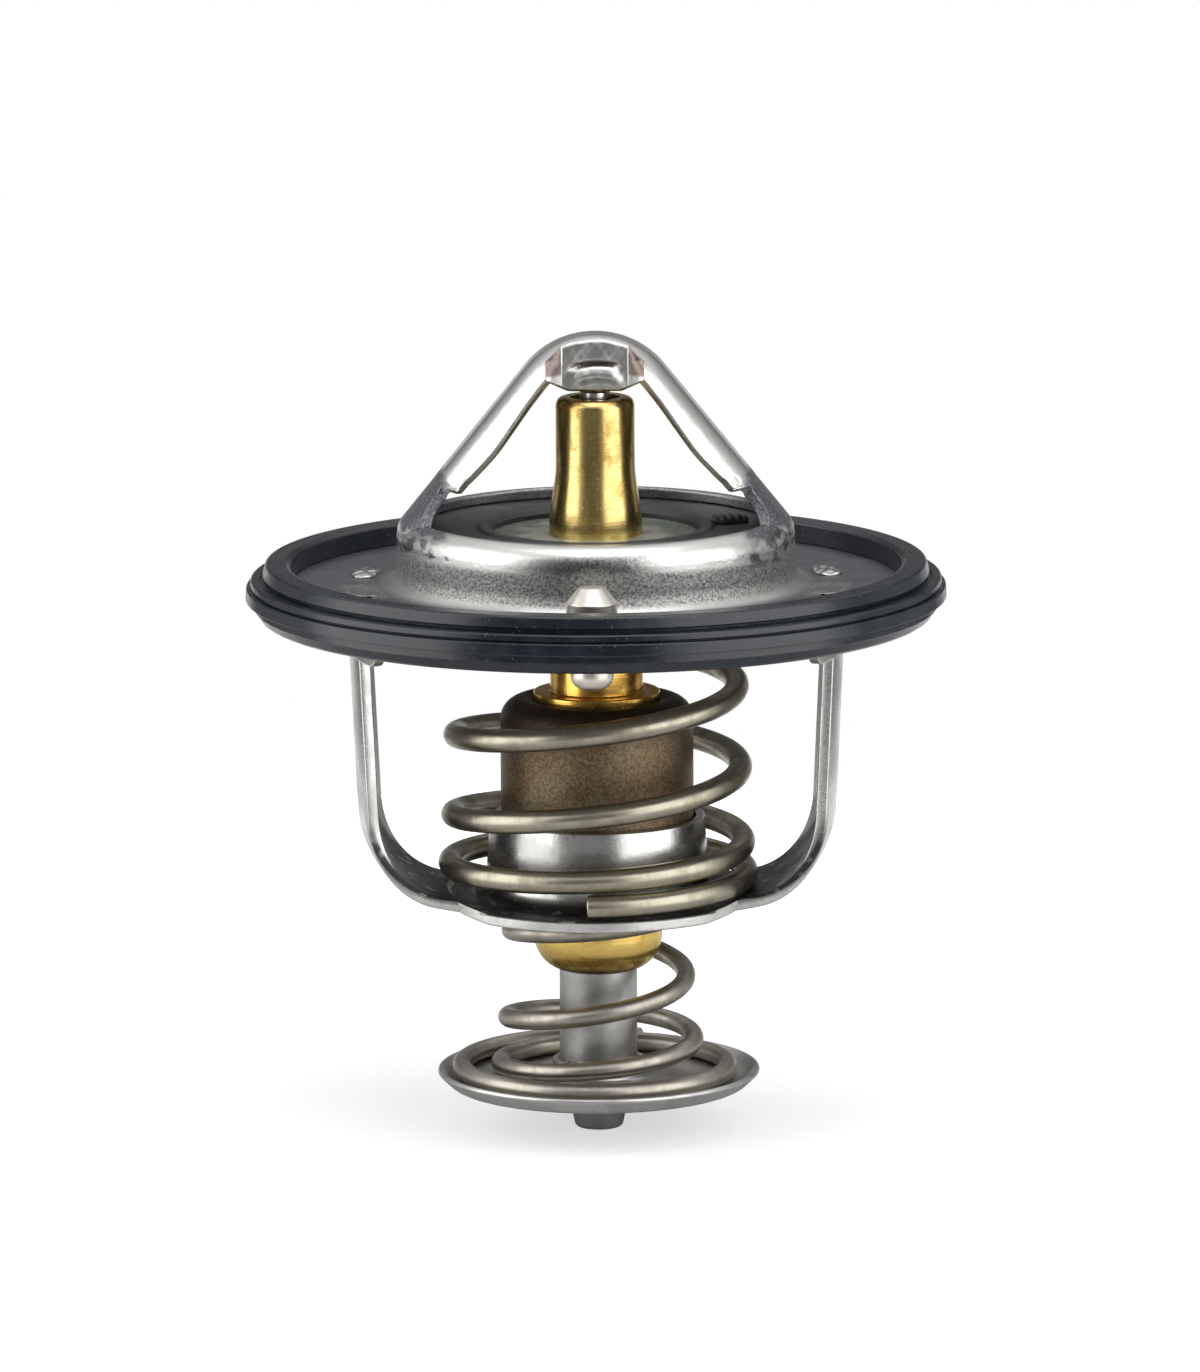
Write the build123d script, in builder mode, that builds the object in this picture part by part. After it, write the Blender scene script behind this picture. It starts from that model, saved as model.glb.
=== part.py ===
from build123d import *
from math import acos, atan2, cos, degrees, hypot, pi, radians, sin, sqrt, tan
import os

# Wax thermostat with a bottom bypass valve, in millimetres, upright with +Z up the piston.
# The origin is the centre of the gasket's ridge, on the piston's axis.

# Sheet and fits
sheet = 1.0
disc_sheet = 0.8
running_gap = 0.05
assembly_gap = 0.05
seal_gap = 0.05
slot_gap = 0.08
guide_play = 0.2

# Flange, collar and lip of the upper stamping
flange_radius = 28.0
collar_radius = 17.6
collar_base_bend = 1.8
collar_top = 6.5
shoulder_bend = 1.8
lip_reach = 2.0

# Bridge over the collar
bridge_top = 23.0
crown_radius = 8.0
leg_foot_rise = 1.03
leg_foot_start = 0.35
leg_foot_sink = 0.05
leg_foot_bend = 1.5
channel_half = 4.2
channel_depth = 2.6
channel_bend = 2.2
leg_waist_half = 4.6
leg_root_half = 11.0
root_rise = 0.4
flank_rise = 3.8
hook_rise = 5.6
window_corner = 2.8

# Socket pressed in the bridge's apex round the piston's tip, with its levels down from the bridge's top
socket_half = 2.9
socket_front_low = 2.5
socket_front_high = 4.05
socket_height = 4.7
socket_head_drop = 1.4
socket_round = 0.9
pinch_half = 4.3
pinch_side_drop = 3.4
pinch_top_drop = 1.7
dent_drop = 2.8
dent_radius = 0.4
dent_half = 1.7

# Gasket: each step of its ribbed outside is set back from the widest ridge, the rim
gasket_height = 5.0
gasket_grip = 1.0
rim_reach = 3.0
rim_bottom = -0.75
rim_top = 0.35
ridge_step = 0.44
ridge_top = 1.05
ledge_step = 0.7
groove_step = 0.8
lip_step = 1.7
lip_flank_level = 1.7
undercut_step = 0.75
undercut_level = -1.6
foot_step = 1.2
gasket_chamfer = 0.5

# Jiggle valve in the flange
jiggle_reach = 3.9
jiggle_angle = -91.0
jiggle_hole = 1.4
jiggle_shank = 0.9
jiggle_head = 2.25
jiggle_tip = 1.13
jiggle_head_height = 1.9
jiggle_cone_height = 1.35
jiggle_travel = 1.2
weight_radius = 1.9
weight_height = 3.5
weight_round = 1.2
rivet_radius = 0.7

# Piston and guide
piston_radius = 1.375
piston_tip_radius = 1.075
piston_tip_seat = 2.2
piston_neck = 0.7
piston_foot = -3.0
guide_clearance = 1.2
guide_slim = 3.5
guide_flare_top = 11.3
guide_flare_end = 0.5
guide_radius = 4.12
guide_rim_round = 0.7
guide_mouth = 2.2
seal_radius = 2.6
seal_depth = 1.0
seal_rim = 0.4
step_radius = 5.6
step_top = -9.2
step_height = 1.1
base_radius = 7.3
base_height = 1.9
chamber_radius = 4.6
chamber_depth = 3.8
plate_height = 0.8

# Main valve on the guide
valve_rim_drop = 2.0
valve_bend = 1.2
valve_hub_wall = 0.8
valve_hub_drop = 3.0
seat_sheet = 0.55
seat_side = 0.25
seat_band = 6.65
seat_clearance = 0.25
seat_corner = 0.7
seat_drop = 1.5

# Wax cup and nose
cup_wall = 1.25
cup_crimp = 0.5
cup_shoulder = 2.0
cup_dish = 0.15
cup_bottom = -28.0
cup_edge = 0.3
diaphragm_grip = 1.5
diaphragm_height = 0.8
diaphragm_dome = 0.5
nose_wall = 1.0
nose_grip = 6.0
nose_length = 5.6
nose_floor = 1.3
nose_round = 3.4

# Stem, its retaining ring and its tail
stem_radius = 3.45
spigot_radius = 2.2
spigot_head = 3.2
spigot_head_height = 0.8
clip_groove = 2.35
clip_radius = 4.6
clip_height = 0.8
tail_radius = 2.7
tail_tip = 2.1
tail_length = 3.8
tail_round = 0.5

# Bypass disc
dish_radius = 14.4
dish_floor = -44.0
dish_depth = 0.9
dish_sheet = 0.9
dish_brim = 1.4
dish_bend = 1.2
hub_wall = 0.6
hub_height = 2.1

# Lower frame
ring_ledge = 0.7
ring_top = -27.4
fold_line = 9.6
arm_rise = 10.0
strap_half = 6.7
leg_reach = 4.3
leg_lean = 2.7
leg_bend = 8.6
guide_collar_height = 7.0
guide_collar_wall = 0.75
guide_collar_flare = 0.55
guide_collar_bend = 1.5
guide_collar_root = 2.3
head_half = 10.1
head_bottom = -5.4
head_round = 1.0
tab_inset = 2.1
tab_width = 4.65
tab_proud = 0.12

# Springs
main_wire = 2.1
main_start = -94.0
main_turns = 5.85
main_foot_room = 0.7
main_cup_room = 2.15
main_dead_turns = 0.85
main_run_in = 0.9
main_lean = 0.35
main_rest_gap = 0.15
closed_share = 1.02
bypass_wire = 1.7
bypass_start = 72.0
bypass_foot_inset = 0.6
bypass_nose_room = 0.1
# Shares of the way from the top coil's radius to the foot coil's, and of the climb, each at its turn
spread_turns = [0, 0.3, 0.8, 1.3, 1.8, 2.3, 2.8, 4.3]
spread_shares = [1, 0.96, 0.8, 0.21, 0.16, 0.075, 0.01, 0]
climb_turns = [0, 1.2, 1.8, 2.3, 2.8, 3.3, 3.75, 4.3]
climb_shares = [0, 0, 0.17, 0.31, 0.57, 0.86, 1, 1]

# Upper stamping and gasket: levels and radii that follow from the sizes above
gasket_inner = flange_radius - gasket_grip
rim_radius = flange_radius + rim_reach
gasket_top = gasket_height / 2
gasket_bottom = -gasket_height / 2
flange_top = sheet / 2
flange_bottom = -sheet / 2
lip_radius = collar_radius - lip_reach
foot_radius = collar_radius - leg_foot_sink
seat_level = collar_top - sheet
collar_bore = collar_radius - sheet
jiggle_circle = collar_radius + jiggle_reach
socket_bottom = bridge_top - socket_height
socket_head = bridge_top - socket_head_drop
dent_level = bridge_top - dent_drop
shoulder_start = collar_top - shoulder_bend
hook_level = shoulder_start + hook_rise

# Valve: its coat closes under the lip and runs inside the collar
seat_top = seat_level - seal_gap
valve_top = seat_top - seat_sheet
valve_bottom = valve_top - disc_sheet
seat_outer = collar_bore - seat_clearance
seat_inner = seat_outer - seat_band
valve_radius = seat_outer - seat_side

# Piston, guide and cup: the guide ends below the socket, and its base sits in the cup
piston_shoulder = socket_bottom - piston_neck
guide_top = socket_bottom - guide_clearance
guide_flare_bottom = valve_top + guide_flare_end
bore_radius = piston_radius + running_gap
base_top = step_top - step_height
base_bottom = base_top - base_height
bore_end = base_bottom + chamber_depth
cup_radius = base_radius + cup_wall
cup_top = base_top + cup_crimp
wax_radius = base_radius - diaphragm_grip
nose_radius = wax_radius + nose_wall
nose_rim = cup_bottom + nose_grip
nose_bottom = cup_bottom - nose_length
nose_inner_round = nose_round - nose_wall

# Bypass disc and tail
dish_bottom = dish_floor - dish_sheet
dish_rim = dish_floor + dish_depth
dish_flat = dish_radius - dish_brim
hub_bore = stem_radius + running_gap
hub_radius = hub_bore + hub_wall
hub_top = dish_floor + hub_height
tail_bottom = dish_bottom - tail_length

# Lower frame and springs: the ring's collar guides the cup, and each coil clears what it stands round
ring_bottom = ring_top - sheet
guide_collar_top = ring_top + guide_collar_height
guide_collar_bore = cup_radius + guide_play
collar_foot = guide_collar_bore + guide_collar_wall + guide_collar_flare
main_bottom_coil = collar_foot + guide_collar_bend + main_foot_room + main_wire / 2
main_top_coil = cup_radius + main_cup_room + main_wire / 2
ring_radius = main_bottom_coil + ring_ledge
leg_outer = collar_radius + leg_reach
bypass_foot_coil = dish_flat - bypass_foot_inset
bypass_top_coil = nose_radius + bypass_nose_room + bypass_wire / 2


def smooth_share(turns, shares, turn):
    """Share at one turn of a smooth curve through the shares given at the listed turns."""
    index = max(i for i, knot in enumerate(turns[:-1]) if knot <= turn + 1e-9)
    before = max(index - 1, 0)
    after = min(index + 2, len(turns) - 1)
    v0 = shares[index]
    v1 = shares[index + 1]
    if v1 == v0:
        return v0
    slope0 = (v1 - shares[before]) / (turns[index + 1] - turns[before])
    slope1 = (shares[after] - v0) / (turns[after] - turns[index])
    span = turns[index + 1] - turns[index]
    s = (turn - turns[index]) / span
    return (
        (2 * s**3 - 3 * s**2 + 1) * v0
        + (s**3 - 2 * s**2 + s) * span * slope0
        + (3 * s**2 - 2 * s**3) * v1
        + (s**3 - s**2) * span * slope1
    )


def coil_points(turns, start_angle, radius_at, height_at, steps=14):
    """Points of a right-handed coil whose radius and height vary with the turn."""
    count = round(turns * steps)
    points = []
    for i in range(count + 1):
        turn = turns * i / count
        angle = radians(start_angle + 360 * turn)
        radius = radius_at(turn)
        points.append((radius * cos(angle), radius * sin(angle), height_at(turn)))
    return points


def coil_start(points):
    """Plane across the wire at the coil's first end."""
    first = Vector(*points[0])
    second = Vector(*points[1])
    return Plane(origin=first, z_dir=second - first)


# Bridge path in the XZ plane: straight legs from the collar's shoulder, tangent to the crown's arc
crown_centre = bridge_top - crown_radius
foot_drop = crown_centre - shoulder_start - leg_foot_rise
lean = acos(crown_radius / hypot(foot_radius, foot_drop)) - atan2(foot_drop, foot_radius)
crown_end = Vector(crown_radius * cos(lean), 0, crown_centre + crown_radius * sin(lean))
leg_direction = Vector(sin(lean), 0, -cos(lean))
hook_point = crown_end + leg_direction * ((crown_end.Z - hook_level) / cos(lean))
leg_end = hook_point - leg_direction * channel_depth

# Each leg widens at its foot, where the windows cut beside it have rounded corners
root_level = shoulder_start + root_rise
flank_level = shoulder_start + flank_rise

with BuildPart() as bridge_legs:
    with BuildSketch(Plane.XZ) as leg_section:
        with BuildLine():
            FilletPolyline(
                (foot_radius, shoulder_start + leg_foot_start),
                (foot_radius, shoulder_start + leg_foot_rise),
                (leg_end.X, leg_end.Z),
                radius=leg_foot_bend,
            )
            offset(amount=sheet, side=Side.LEFT)
        make_face()
    revolve(axis=Axis.Z)
    with BuildSketch(Plane.YZ) as leg_outline:
        with BuildLine():
            Polyline(
                (-leg_root_half, 0),
                (-leg_root_half, root_level),
                (-leg_waist_half, flank_level),
                (-leg_waist_half, hook_level),
                (-channel_half, hook_level),
                (-channel_half, bridge_top),
                (channel_half, bridge_top),
                (channel_half, hook_level),
                (leg_waist_half, hook_level),
                (leg_waist_half, flank_level),
                (leg_root_half, root_level),
                (leg_root_half, 0),
                close=True,
            )
        make_face()
        fillet(leg_outline.vertices().group_by(Axis.Y)[2], radius=window_corner)
    extrude(amount=flange_radius, both=True, mode=Mode.INTERSECT)

# The upper strap is a channel with a rounded crown and two side walls that end in hooks
channel_plane = Plane(origin=hook_point, x_dir=(0, -1, 0), z_dir=-leg_direction)

with BuildPart() as bridge_channel:
    with BuildLine(Plane.XZ) as channel_path:
        Line((hook_point.X, hook_point.Z), (crown_end.X, crown_end.Z))
        CenterArc((0, crown_centre), crown_radius, degrees(lean), degrees(pi - 2 * lean))
        Line((-crown_end.X, crown_end.Z), (-hook_point.X, hook_point.Z))
    with BuildSketch(channel_plane) as channel_section:
        with BuildLine():
            FilletPolyline(
                (-channel_half, -channel_depth),
                (-channel_half, 0),
                (channel_half, 0),
                (channel_half, -channel_depth),
                radius=channel_bend,
            )
            offset(amount=sheet, side=Side.RIGHT)
        make_face()
    sweep(path=channel_path.wires()[0])

    # The side walls are pinched away beside the socket
    with BuildSketch(Plane.XZ) as pinch:
        with BuildLine():
            Polyline(
                (-pinch_half, 0),
                (-pinch_half, bridge_top - pinch_side_drop),
                (-socket_half, bridge_top - pinch_top_drop),
                (socket_half, bridge_top - pinch_top_drop),
                (pinch_half, bridge_top - pinch_side_drop),
                (pinch_half, 0),
                close=True,
            )
        make_face()
    extrude(amount=2 * channel_half, both=True, mode=Mode.SUBTRACT)

# Socket: the pinched walls close round the piston's tip and are dented on it
dent_share = (dent_level - socket_bottom) / (socket_head - socket_bottom)
dent_front = socket_front_low + (socket_front_high - socket_front_low) * dent_share

with BuildPart() as socket:
    with BuildSketch(Plane.YZ) as socket_section:
        with BuildLine():
            Polyline(
                (-socket_front_low, socket_bottom),
                (-socket_front_high, socket_head),
                (socket_front_high, socket_head),
                (socket_front_low, socket_bottom),
                close=True,
            )
        make_face()
    extrude(amount=socket_half, both=True)
    fillet(socket.edges().group_by(Axis.Z)[0], radius=socket_round)
    with Locations((0, 0, socket_bottom)):
        Cylinder(
            piston_tip_radius,
            piston_tip_seat,
            align=(Align.CENTER, Align.CENTER, Align.MIN),
            mode=Mode.SUBTRACT,
        )
    with Locations((0, -dent_front, dent_level), (0, dent_front, dent_level)):
        Cylinder(dent_radius, 2 * dent_half, rotation=(0, 90, 0), mode=Mode.SUBTRACT)

# Upper stamping: flange, drawn collar with its lip, and the bridge
tab_middle = head_half - tab_inset - tab_width / 2
jiggle_place = (jiggle_circle * cos(radians(jiggle_angle)), jiggle_circle * sin(radians(jiggle_angle)))

with BuildPart() as flange_bridge:
    with BuildSketch(Plane.XZ) as flange_section:
        with BuildLine():
            FilletPolyline(
                (flange_radius, flange_top),
                (collar_radius, flange_top),
                (collar_radius, collar_top),
                (lip_radius, collar_top),
                radius=[collar_base_bend, shoulder_bend],
            )
            offset(amount=sheet, side=Side.LEFT)
        make_face()
    revolve(axis=Axis.Z)
    add(bridge_legs.part)
    add(bridge_channel.part)
    add(socket.part)
    with BuildSketch(Plane.XY.offset(flange_bottom)) as tab_slots:
        with Locations((0, tab_middle), (0, -tab_middle)):
            Rectangle(2 * flange_radius, tab_width + 2 * slot_gap)
        Circle(leg_outer + slot_gap, mode=Mode.INTERSECT)
        Circle(leg_outer - sheet - slot_gap, mode=Mode.SUBTRACT)
    extrude(amount=sheet, mode=Mode.SUBTRACT)
    with Locations((*jiggle_place, flange_top)):
        Hole(jiggle_hole, depth=sheet)
flange_bridge.part.label = "flange_bridge"

# Gasket: ribbed ring with a groove round the flange's edge
with BuildPart() as gasket:
    with BuildSketch(Plane.XZ) as gasket_section:
        with BuildLine():
            Polyline(
                (flange_radius, flange_bottom),
                (flange_radius, flange_top),
                (gasket_inner, flange_top),
                (gasket_inner, gasket_top - gasket_chamfer / 2),
                (gasket_inner + gasket_chamfer, gasket_top),
                (rim_radius - lip_step, gasket_top),
                (rim_radius - lip_step, lip_flank_level),
                (rim_radius - ledge_step, ridge_top),
                (rim_radius - ridge_step, ridge_top),
                (rim_radius - ridge_step, (ridge_top + rim_top) / 2),
                (rim_radius - groove_step, rim_top),
                (rim_radius, rim_top),
                (rim_radius, rim_bottom),
                (rim_radius - undercut_step, rim_bottom),
                (rim_radius - undercut_step, undercut_level),
                (rim_radius - foot_step, gasket_bottom),
                (gasket_inner + gasket_chamfer, gasket_bottom),
                (gasket_inner, gasket_bottom + gasket_chamfer / 2),
                (gasket_inner, flange_bottom),
                close=True,
            )
        make_face()
    revolve(axis=Axis.Z)
gasket.part.label = "gasket"

# Jiggle valve: a pin that hangs in the flange's hole by its head, with a weight riveted on below
weight_top = flange_bottom - jiggle_travel
weight_bottom = weight_top - weight_height
jiggle_axis = Axis((*jiggle_place, 0), (0, 0, 1))
jiggle_section_plane = Plane(origin=(*jiggle_place, 0), x_dir=(1, 0, 0), z_dir=(0, -1, 0))
cone_bottom = flange_top + jiggle_head_height
cone_top = cone_bottom + jiggle_cone_height

with BuildPart() as jiggle_pin:
    with BuildSketch(jiggle_section_plane) as jiggle_pin_section:
        with BuildLine():
            Polyline(
                (0, weight_bottom),
                (rivet_radius, weight_bottom),
                (rivet_radius, weight_top),
                (jiggle_shank, weight_top),
                (jiggle_shank, flange_top),
                (jiggle_head, flange_top),
                (jiggle_head, cone_bottom),
                (jiggle_tip, cone_top),
                (0, cone_top),
                close=True,
            )
        make_face()
    revolve(axis=jiggle_axis)
jiggle_pin.part.label = "jiggle_pin"

with BuildPart() as jiggle_weight:
    with BuildSketch(jiggle_section_plane) as weight_section:
        with BuildLine():
            Polyline(
                (rivet_radius, weight_top),
                (weight_radius, weight_top),
                (weight_radius, weight_bottom),
                (rivet_radius, weight_bottom),
                close=True,
            )
        make_face()
        fillet(weight_section.vertices().group_by(Axis.X)[-1].sort_by(Axis.Z)[0], weight_round)
    revolve(axis=jiggle_axis)
jiggle_weight.part.label = "jiggle_weight"

# Piston: a pin with a thinner tip held in the bridge's socket
with BuildPart() as piston:
    with BuildSketch(Plane.XZ) as piston_section:
        with BuildLine():
            Polyline(
                (0, piston_foot),
                (piston_radius, piston_foot),
                (piston_radius, piston_shoulder),
                (piston_tip_radius, piston_shoulder),
                (piston_tip_radius, socket_bottom + piston_tip_seat),
                (0, socket_bottom + piston_tip_seat),
                close=True,
            )
        make_face()
    revolve(axis=Axis.Z)
piston.part.label = "piston"

# Hard plate and rubber plug under the piston, in the guide's bore
plate_bottom = piston_foot - plate_height
plug_bottom = bore_end + assembly_gap

with BuildPart() as backup_plate:
    with BuildSketch(Plane.XY.offset(plate_bottom)):
        Circle(piston_radius)
    extrude(amount=plate_height)
backup_plate.part.label = "backup_plate"

with BuildPart() as rubber_plug:
    with BuildSketch(Plane.XY.offset(plug_bottom)):
        Circle(piston_radius)
    extrude(amount=plate_bottom - plug_bottom)
rubber_plug.part.label = "rubber_plug"

# Guide: a turned sleeve with a flared foot, a step and a clamping flange
seal_top = guide_top - seal_rim
seal_bottom = seal_top - seal_depth

with BuildPart() as guide:
    with BuildSketch(Plane.XZ) as guide_section:
        with BuildLine():
            rim = Line((guide_mouth, guide_top), (guide_slim - guide_rim_round, guide_top))
            rim_arc = RadiusArc(rim @ 1, (guide_slim, guide_top - guide_rim_round), guide_rim_round)
            slim = Line(rim_arc @ 1, (guide_slim, guide_flare_top))
            flare = Bezier(
                slim @ 1,
                (guide_slim, (guide_flare_top + guide_flare_bottom) / 2),
                (guide_radius, (guide_flare_top + guide_flare_bottom) / 2),
                (guide_radius, guide_flare_bottom),
            )
            Polyline(
                flare @ 1,
                (guide_radius, step_top),
                (step_radius, step_top),
                (step_radius, base_top),
                (base_radius, base_top),
                (base_radius, base_bottom),
                (chamber_radius, base_bottom),
                (bore_radius, bore_end),
                (bore_radius, seal_bottom),
                (seal_radius, seal_bottom),
                (seal_radius, seal_top),
                (guide_mouth, seal_top),
                rim @ 0,
            )
        make_face()
    revolve(axis=Axis.Z)
guide.part.label = "guide"

with BuildPart() as guide_seal:
    with BuildSketch(Plane.XY.offset(seal_bottom)):
        Circle(seal_radius)
        Circle(piston_radius + seal_gap, mode=Mode.SUBTRACT)
    extrude(amount=seal_depth)
guide_seal.part.label = "guide_seal"

# Soft fill between plug and diaphragm
dome_top = base_bottom + diaphragm_dome

with BuildPart() as semifluid:
    with BuildSketch(Plane.XZ) as semifluid_section:
        with BuildLine():
            dome = ThreePointArc(
                (-chamber_radius, base_bottom),
                (0, dome_top),
                (chamber_radius, base_bottom),
            )
            Polyline(dome @ 1, (bore_radius, bore_end), (-bore_radius, bore_end), dome @ 0)
        make_face()
        with Locations((-chamber_radius, base_bottom)):
            Rectangle(2 * chamber_radius, 2 * chamber_radius, mode=Mode.SUBTRACT)
    revolve(axis=Axis.Z)
semifluid.part.label = "semifluid"

with BuildPart() as diaphragm:
    with BuildSketch(Plane.XZ) as diaphragm_section:
        with BuildLine():
            top_dome = ThreePointArc(
                (-chamber_radius, base_bottom),
                (0, dome_top),
                (chamber_radius, base_bottom),
            )
            Polyline(
                top_dome @ 1,
                (base_radius, base_bottom),
                (base_radius, base_bottom - diaphragm_height),
                (-base_radius, base_bottom - diaphragm_height),
                (-base_radius, base_bottom),
                top_dome @ 0,
            )
        make_face()
        with Locations((-base_radius, base_bottom)):
            Rectangle(2 * base_radius, 2 * base_radius, mode=Mode.SUBTRACT)
    revolve(axis=Axis.Z)
diaphragm.part.label = "diaphragm"

# Wax cup, crimped over the guide's flange, and the nose pressed in below
wax_top = base_bottom - diaphragm_height
nose_seat = nose_bottom + nose_floor

with BuildPart() as wax_cup:
    with BuildSketch(Plane.XZ) as cup_section:
        with BuildLine():
            shoulder = RadiusArc(
                (cup_radius - cup_shoulder, cup_top),
                (cup_radius, cup_top - cup_shoulder),
                cup_shoulder,
            )
            Polyline(
                shoulder @ 1,
                (cup_radius, cup_bottom + cup_edge),
                (cup_radius - cup_edge, cup_bottom),
                (nose_radius, cup_bottom),
                (nose_radius, nose_rim),
                (wax_radius, nose_rim),
                (wax_radius, wax_top),
                (base_radius, wax_top),
                (base_radius, base_top),
                (step_radius + assembly_gap, base_top),
                (step_radius + assembly_gap, cup_top - cup_dish),
                shoulder @ 0,
            )
        make_face()
    revolve(axis=Axis.Z)
wax_cup.part.label = "wax_cup"

with BuildPart() as nose_cup:
    with BuildSketch(Plane.XZ) as nose_section:
        with BuildLine():
            nose_arc = RadiusArc(
                (nose_radius, nose_bottom + nose_round),
                (nose_radius - nose_round, nose_bottom),
                nose_round,
            )
            nose_base = Line(nose_arc @ 1, (spigot_radius, nose_bottom))
            nose_hole = Line(nose_base @ 1, (spigot_radius, nose_seat))
            nose_inside = Line(nose_hole @ 1, (nose_radius - nose_round, nose_seat))
            nose_inner_arc = RadiusArc(
                (wax_radius - nose_inner_round, nose_seat),
                (wax_radius, nose_seat + nose_inner_round),
                -nose_inner_round,
            )
            Polyline(
                nose_inner_arc @ 1,
                (wax_radius, nose_rim),
                (nose_radius, nose_rim),
                nose_arc @ 0,
            )
        make_face()
    revolve(axis=Axis.Z)
nose_cup.part.label = "nose_cup"

with BuildPart() as wax:
    with BuildSketch(Plane.XY.offset(nose_seat)) as wax_section:
        Circle(wax_radius)
    extrude(amount=wax_top - nose_seat)
    fillet(wax.edges().group_by(Axis.Z)[0], radius=nose_inner_round)
    with Locations((0, 0, nose_seat)):
        Cylinder(
            spigot_head,
            spigot_head_height,
            align=(Align.CENTER, Align.CENTER, Align.MIN),
            mode=Mode.SUBTRACT,
        )
wax.part.label = "wax"

# Stem: riveted in the nose, with a groove for the retaining ring and a tapered tail
clip_top = dish_bottom - assembly_gap
clip_bottom = clip_top - clip_height

with BuildPart() as stem:
    with BuildSketch(Plane.XZ) as stem_section:
        with BuildLine():
            Polyline(
                (0, tail_bottom),
                (tail_tip, tail_bottom),
                (tail_radius, clip_bottom),
                (clip_groove, clip_bottom),
                (clip_groove, clip_top),
                (stem_radius, clip_top),
                (stem_radius, nose_bottom),
                (spigot_radius, nose_bottom),
                (spigot_radius, nose_seat),
                (spigot_head, nose_seat),
                (spigot_head, nose_seat + spigot_head_height),
                (0, nose_seat + spigot_head_height),
                close=True,
            )
        make_face()
    revolve(axis=Axis.Z)
    fillet(stem.edges().filter_by(GeomType.CIRCLE).group_by(Axis.Z)[0], radius=tail_round)
stem.part.label = "stem"

with BuildPart() as retaining_ring:
    with BuildSketch(Plane.XY.offset(clip_bottom)):
        Circle(clip_radius)
        Circle(clip_groove, mode=Mode.SUBTRACT)
    extrude(amount=clip_height)
retaining_ring.part.label = "retaining_ring"

# Main valve: a disc pressed on the guide, with a turned-down rim and a drawn hub
with BuildPart() as valve_disc:
    with BuildSketch(Plane.XZ) as valve_section:
        with BuildLine():
            FilletPolyline(
                (guide_radius + valve_hub_wall, valve_top - valve_hub_drop),
                (guide_radius + valve_hub_wall, valve_bottom),
                (valve_radius - disc_sheet, valve_bottom),
                (valve_radius - disc_sheet, valve_top - valve_rim_drop),
                radius=valve_bend - disc_sheet,
            )
            FilletPolyline(
                (guide_radius, valve_top - valve_hub_drop),
                (guide_radius, valve_top),
                (valve_radius, valve_top),
                (valve_radius, valve_top - valve_rim_drop),
                radius=[assembly_gap, valve_bend],
            )
            Line(
                (guide_radius + valve_hub_wall, valve_top - valve_hub_drop),
                (guide_radius, valve_top - valve_hub_drop),
            )
            Line(
                (valve_radius - disc_sheet, valve_top - valve_rim_drop),
                (valve_radius, valve_top - valve_rim_drop),
            )
        make_face()
    revolve(axis=Axis.Z)
valve_disc.part.label = "valve_disc"

# Rubber coat on the disc: flat under the lip and drawn down over the disc's bend
with BuildPart() as valve_seal:
    with BuildSketch(Plane.XZ) as seal_section:
        with BuildLine():
            seal_outside = FilletPolyline(
                (seat_inner, seat_top),
                (seat_outer, seat_top),
                (seat_outer, valve_top - seat_drop),
                radius=seat_corner,
            )
            seal_inside = FilletPolyline(
                (seat_inner, valve_top),
                (valve_radius, valve_top),
                (valve_radius, valve_top - seat_drop),
                radius=valve_bend,
            )
            Line(seal_outside @ 0, seal_inside @ 0)
            Line(seal_outside @ 1, seal_inside @ 1)
        make_face()
    revolve(axis=Axis.Z)
valve_seal.part.label = "valve_seal"

# Bypass disc: a shallow dish with a raised rim and a drawn hub that slides on the stem
rim_inner = dish_radius - dish_sheet / 2

with BuildPart() as bypass_disc:
    with BuildSketch(Plane.XZ) as dish_section:
        with BuildLine():
            upper = FilletPolyline(
                (hub_radius, hub_top),
                (hub_radius, dish_floor),
                (dish_flat, dish_floor),
                (rim_inner, dish_rim),
                radius=[hub_wall, dish_bend],
            )
            lower = FilletPolyline(
                (hub_bore, hub_top),
                (hub_bore, dish_bottom),
                (dish_flat, dish_bottom),
                (dish_radius, dish_rim - dish_sheet / 2),
                radius=[assembly_gap, dish_bend + dish_sheet],
            )
            Line(upper @ 0, lower @ 0)
            Line(upper @ 1, lower @ 1)
        make_face()
    revolve(axis=Axis.Z)
bypass_disc.part.label = "bypass_disc"

# Lower frame: a flat ring with a drawn collar that guides the cup
with BuildPart() as frame_ring:
    with BuildSketch(Plane.XZ) as ring_section:
        with BuildLine():
            outside = FilletPolyline(
                (guide_collar_bore + guide_collar_wall, guide_collar_top),
                (collar_foot, ring_top),
                (ring_radius, ring_top),
                radius=guide_collar_bend,
            )
            inside = FilletPolyline(
                (guide_collar_bore, guide_collar_top),
                (guide_collar_bore + guide_collar_flare / 2, ring_bottom),
                (ring_radius, ring_bottom),
                radius=guide_collar_root,
            )
            Line(outside @ 0, inside @ 0)
            Line(outside @ 1, inside @ 1)
        make_face()
    revolve(axis=Axis.Z)
    # Beyond the fold lines the ring rises with the arms
    with BuildSketch(Plane.XY.offset(ring_bottom)) as folded_away:
        Circle(ring_radius + sheet)
        Circle(collar_foot + guide_collar_bend, mode=Mode.SUBTRACT)
        Rectangle(2 * fold_line, 2 * flange_radius, mode=Mode.SUBTRACT)
    extrude(amount=sheet, mode=Mode.SUBTRACT)

# Arm: flat sheet that rises from the fold line; the leg's path bends up from it
rise = radians(arm_rise)
leg_tilt = radians(leg_lean)
leg_foot_x = leg_outer - (head_bottom - ring_bottom) * tan(leg_tilt)
both_tilts = tan(rise) * tan(leg_tilt)
corner_x = (leg_foot_x - fold_line * both_tilts) / (1 - both_tilts)
corner_z = ring_bottom + (corner_x - fold_line) * tan(rise)

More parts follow.
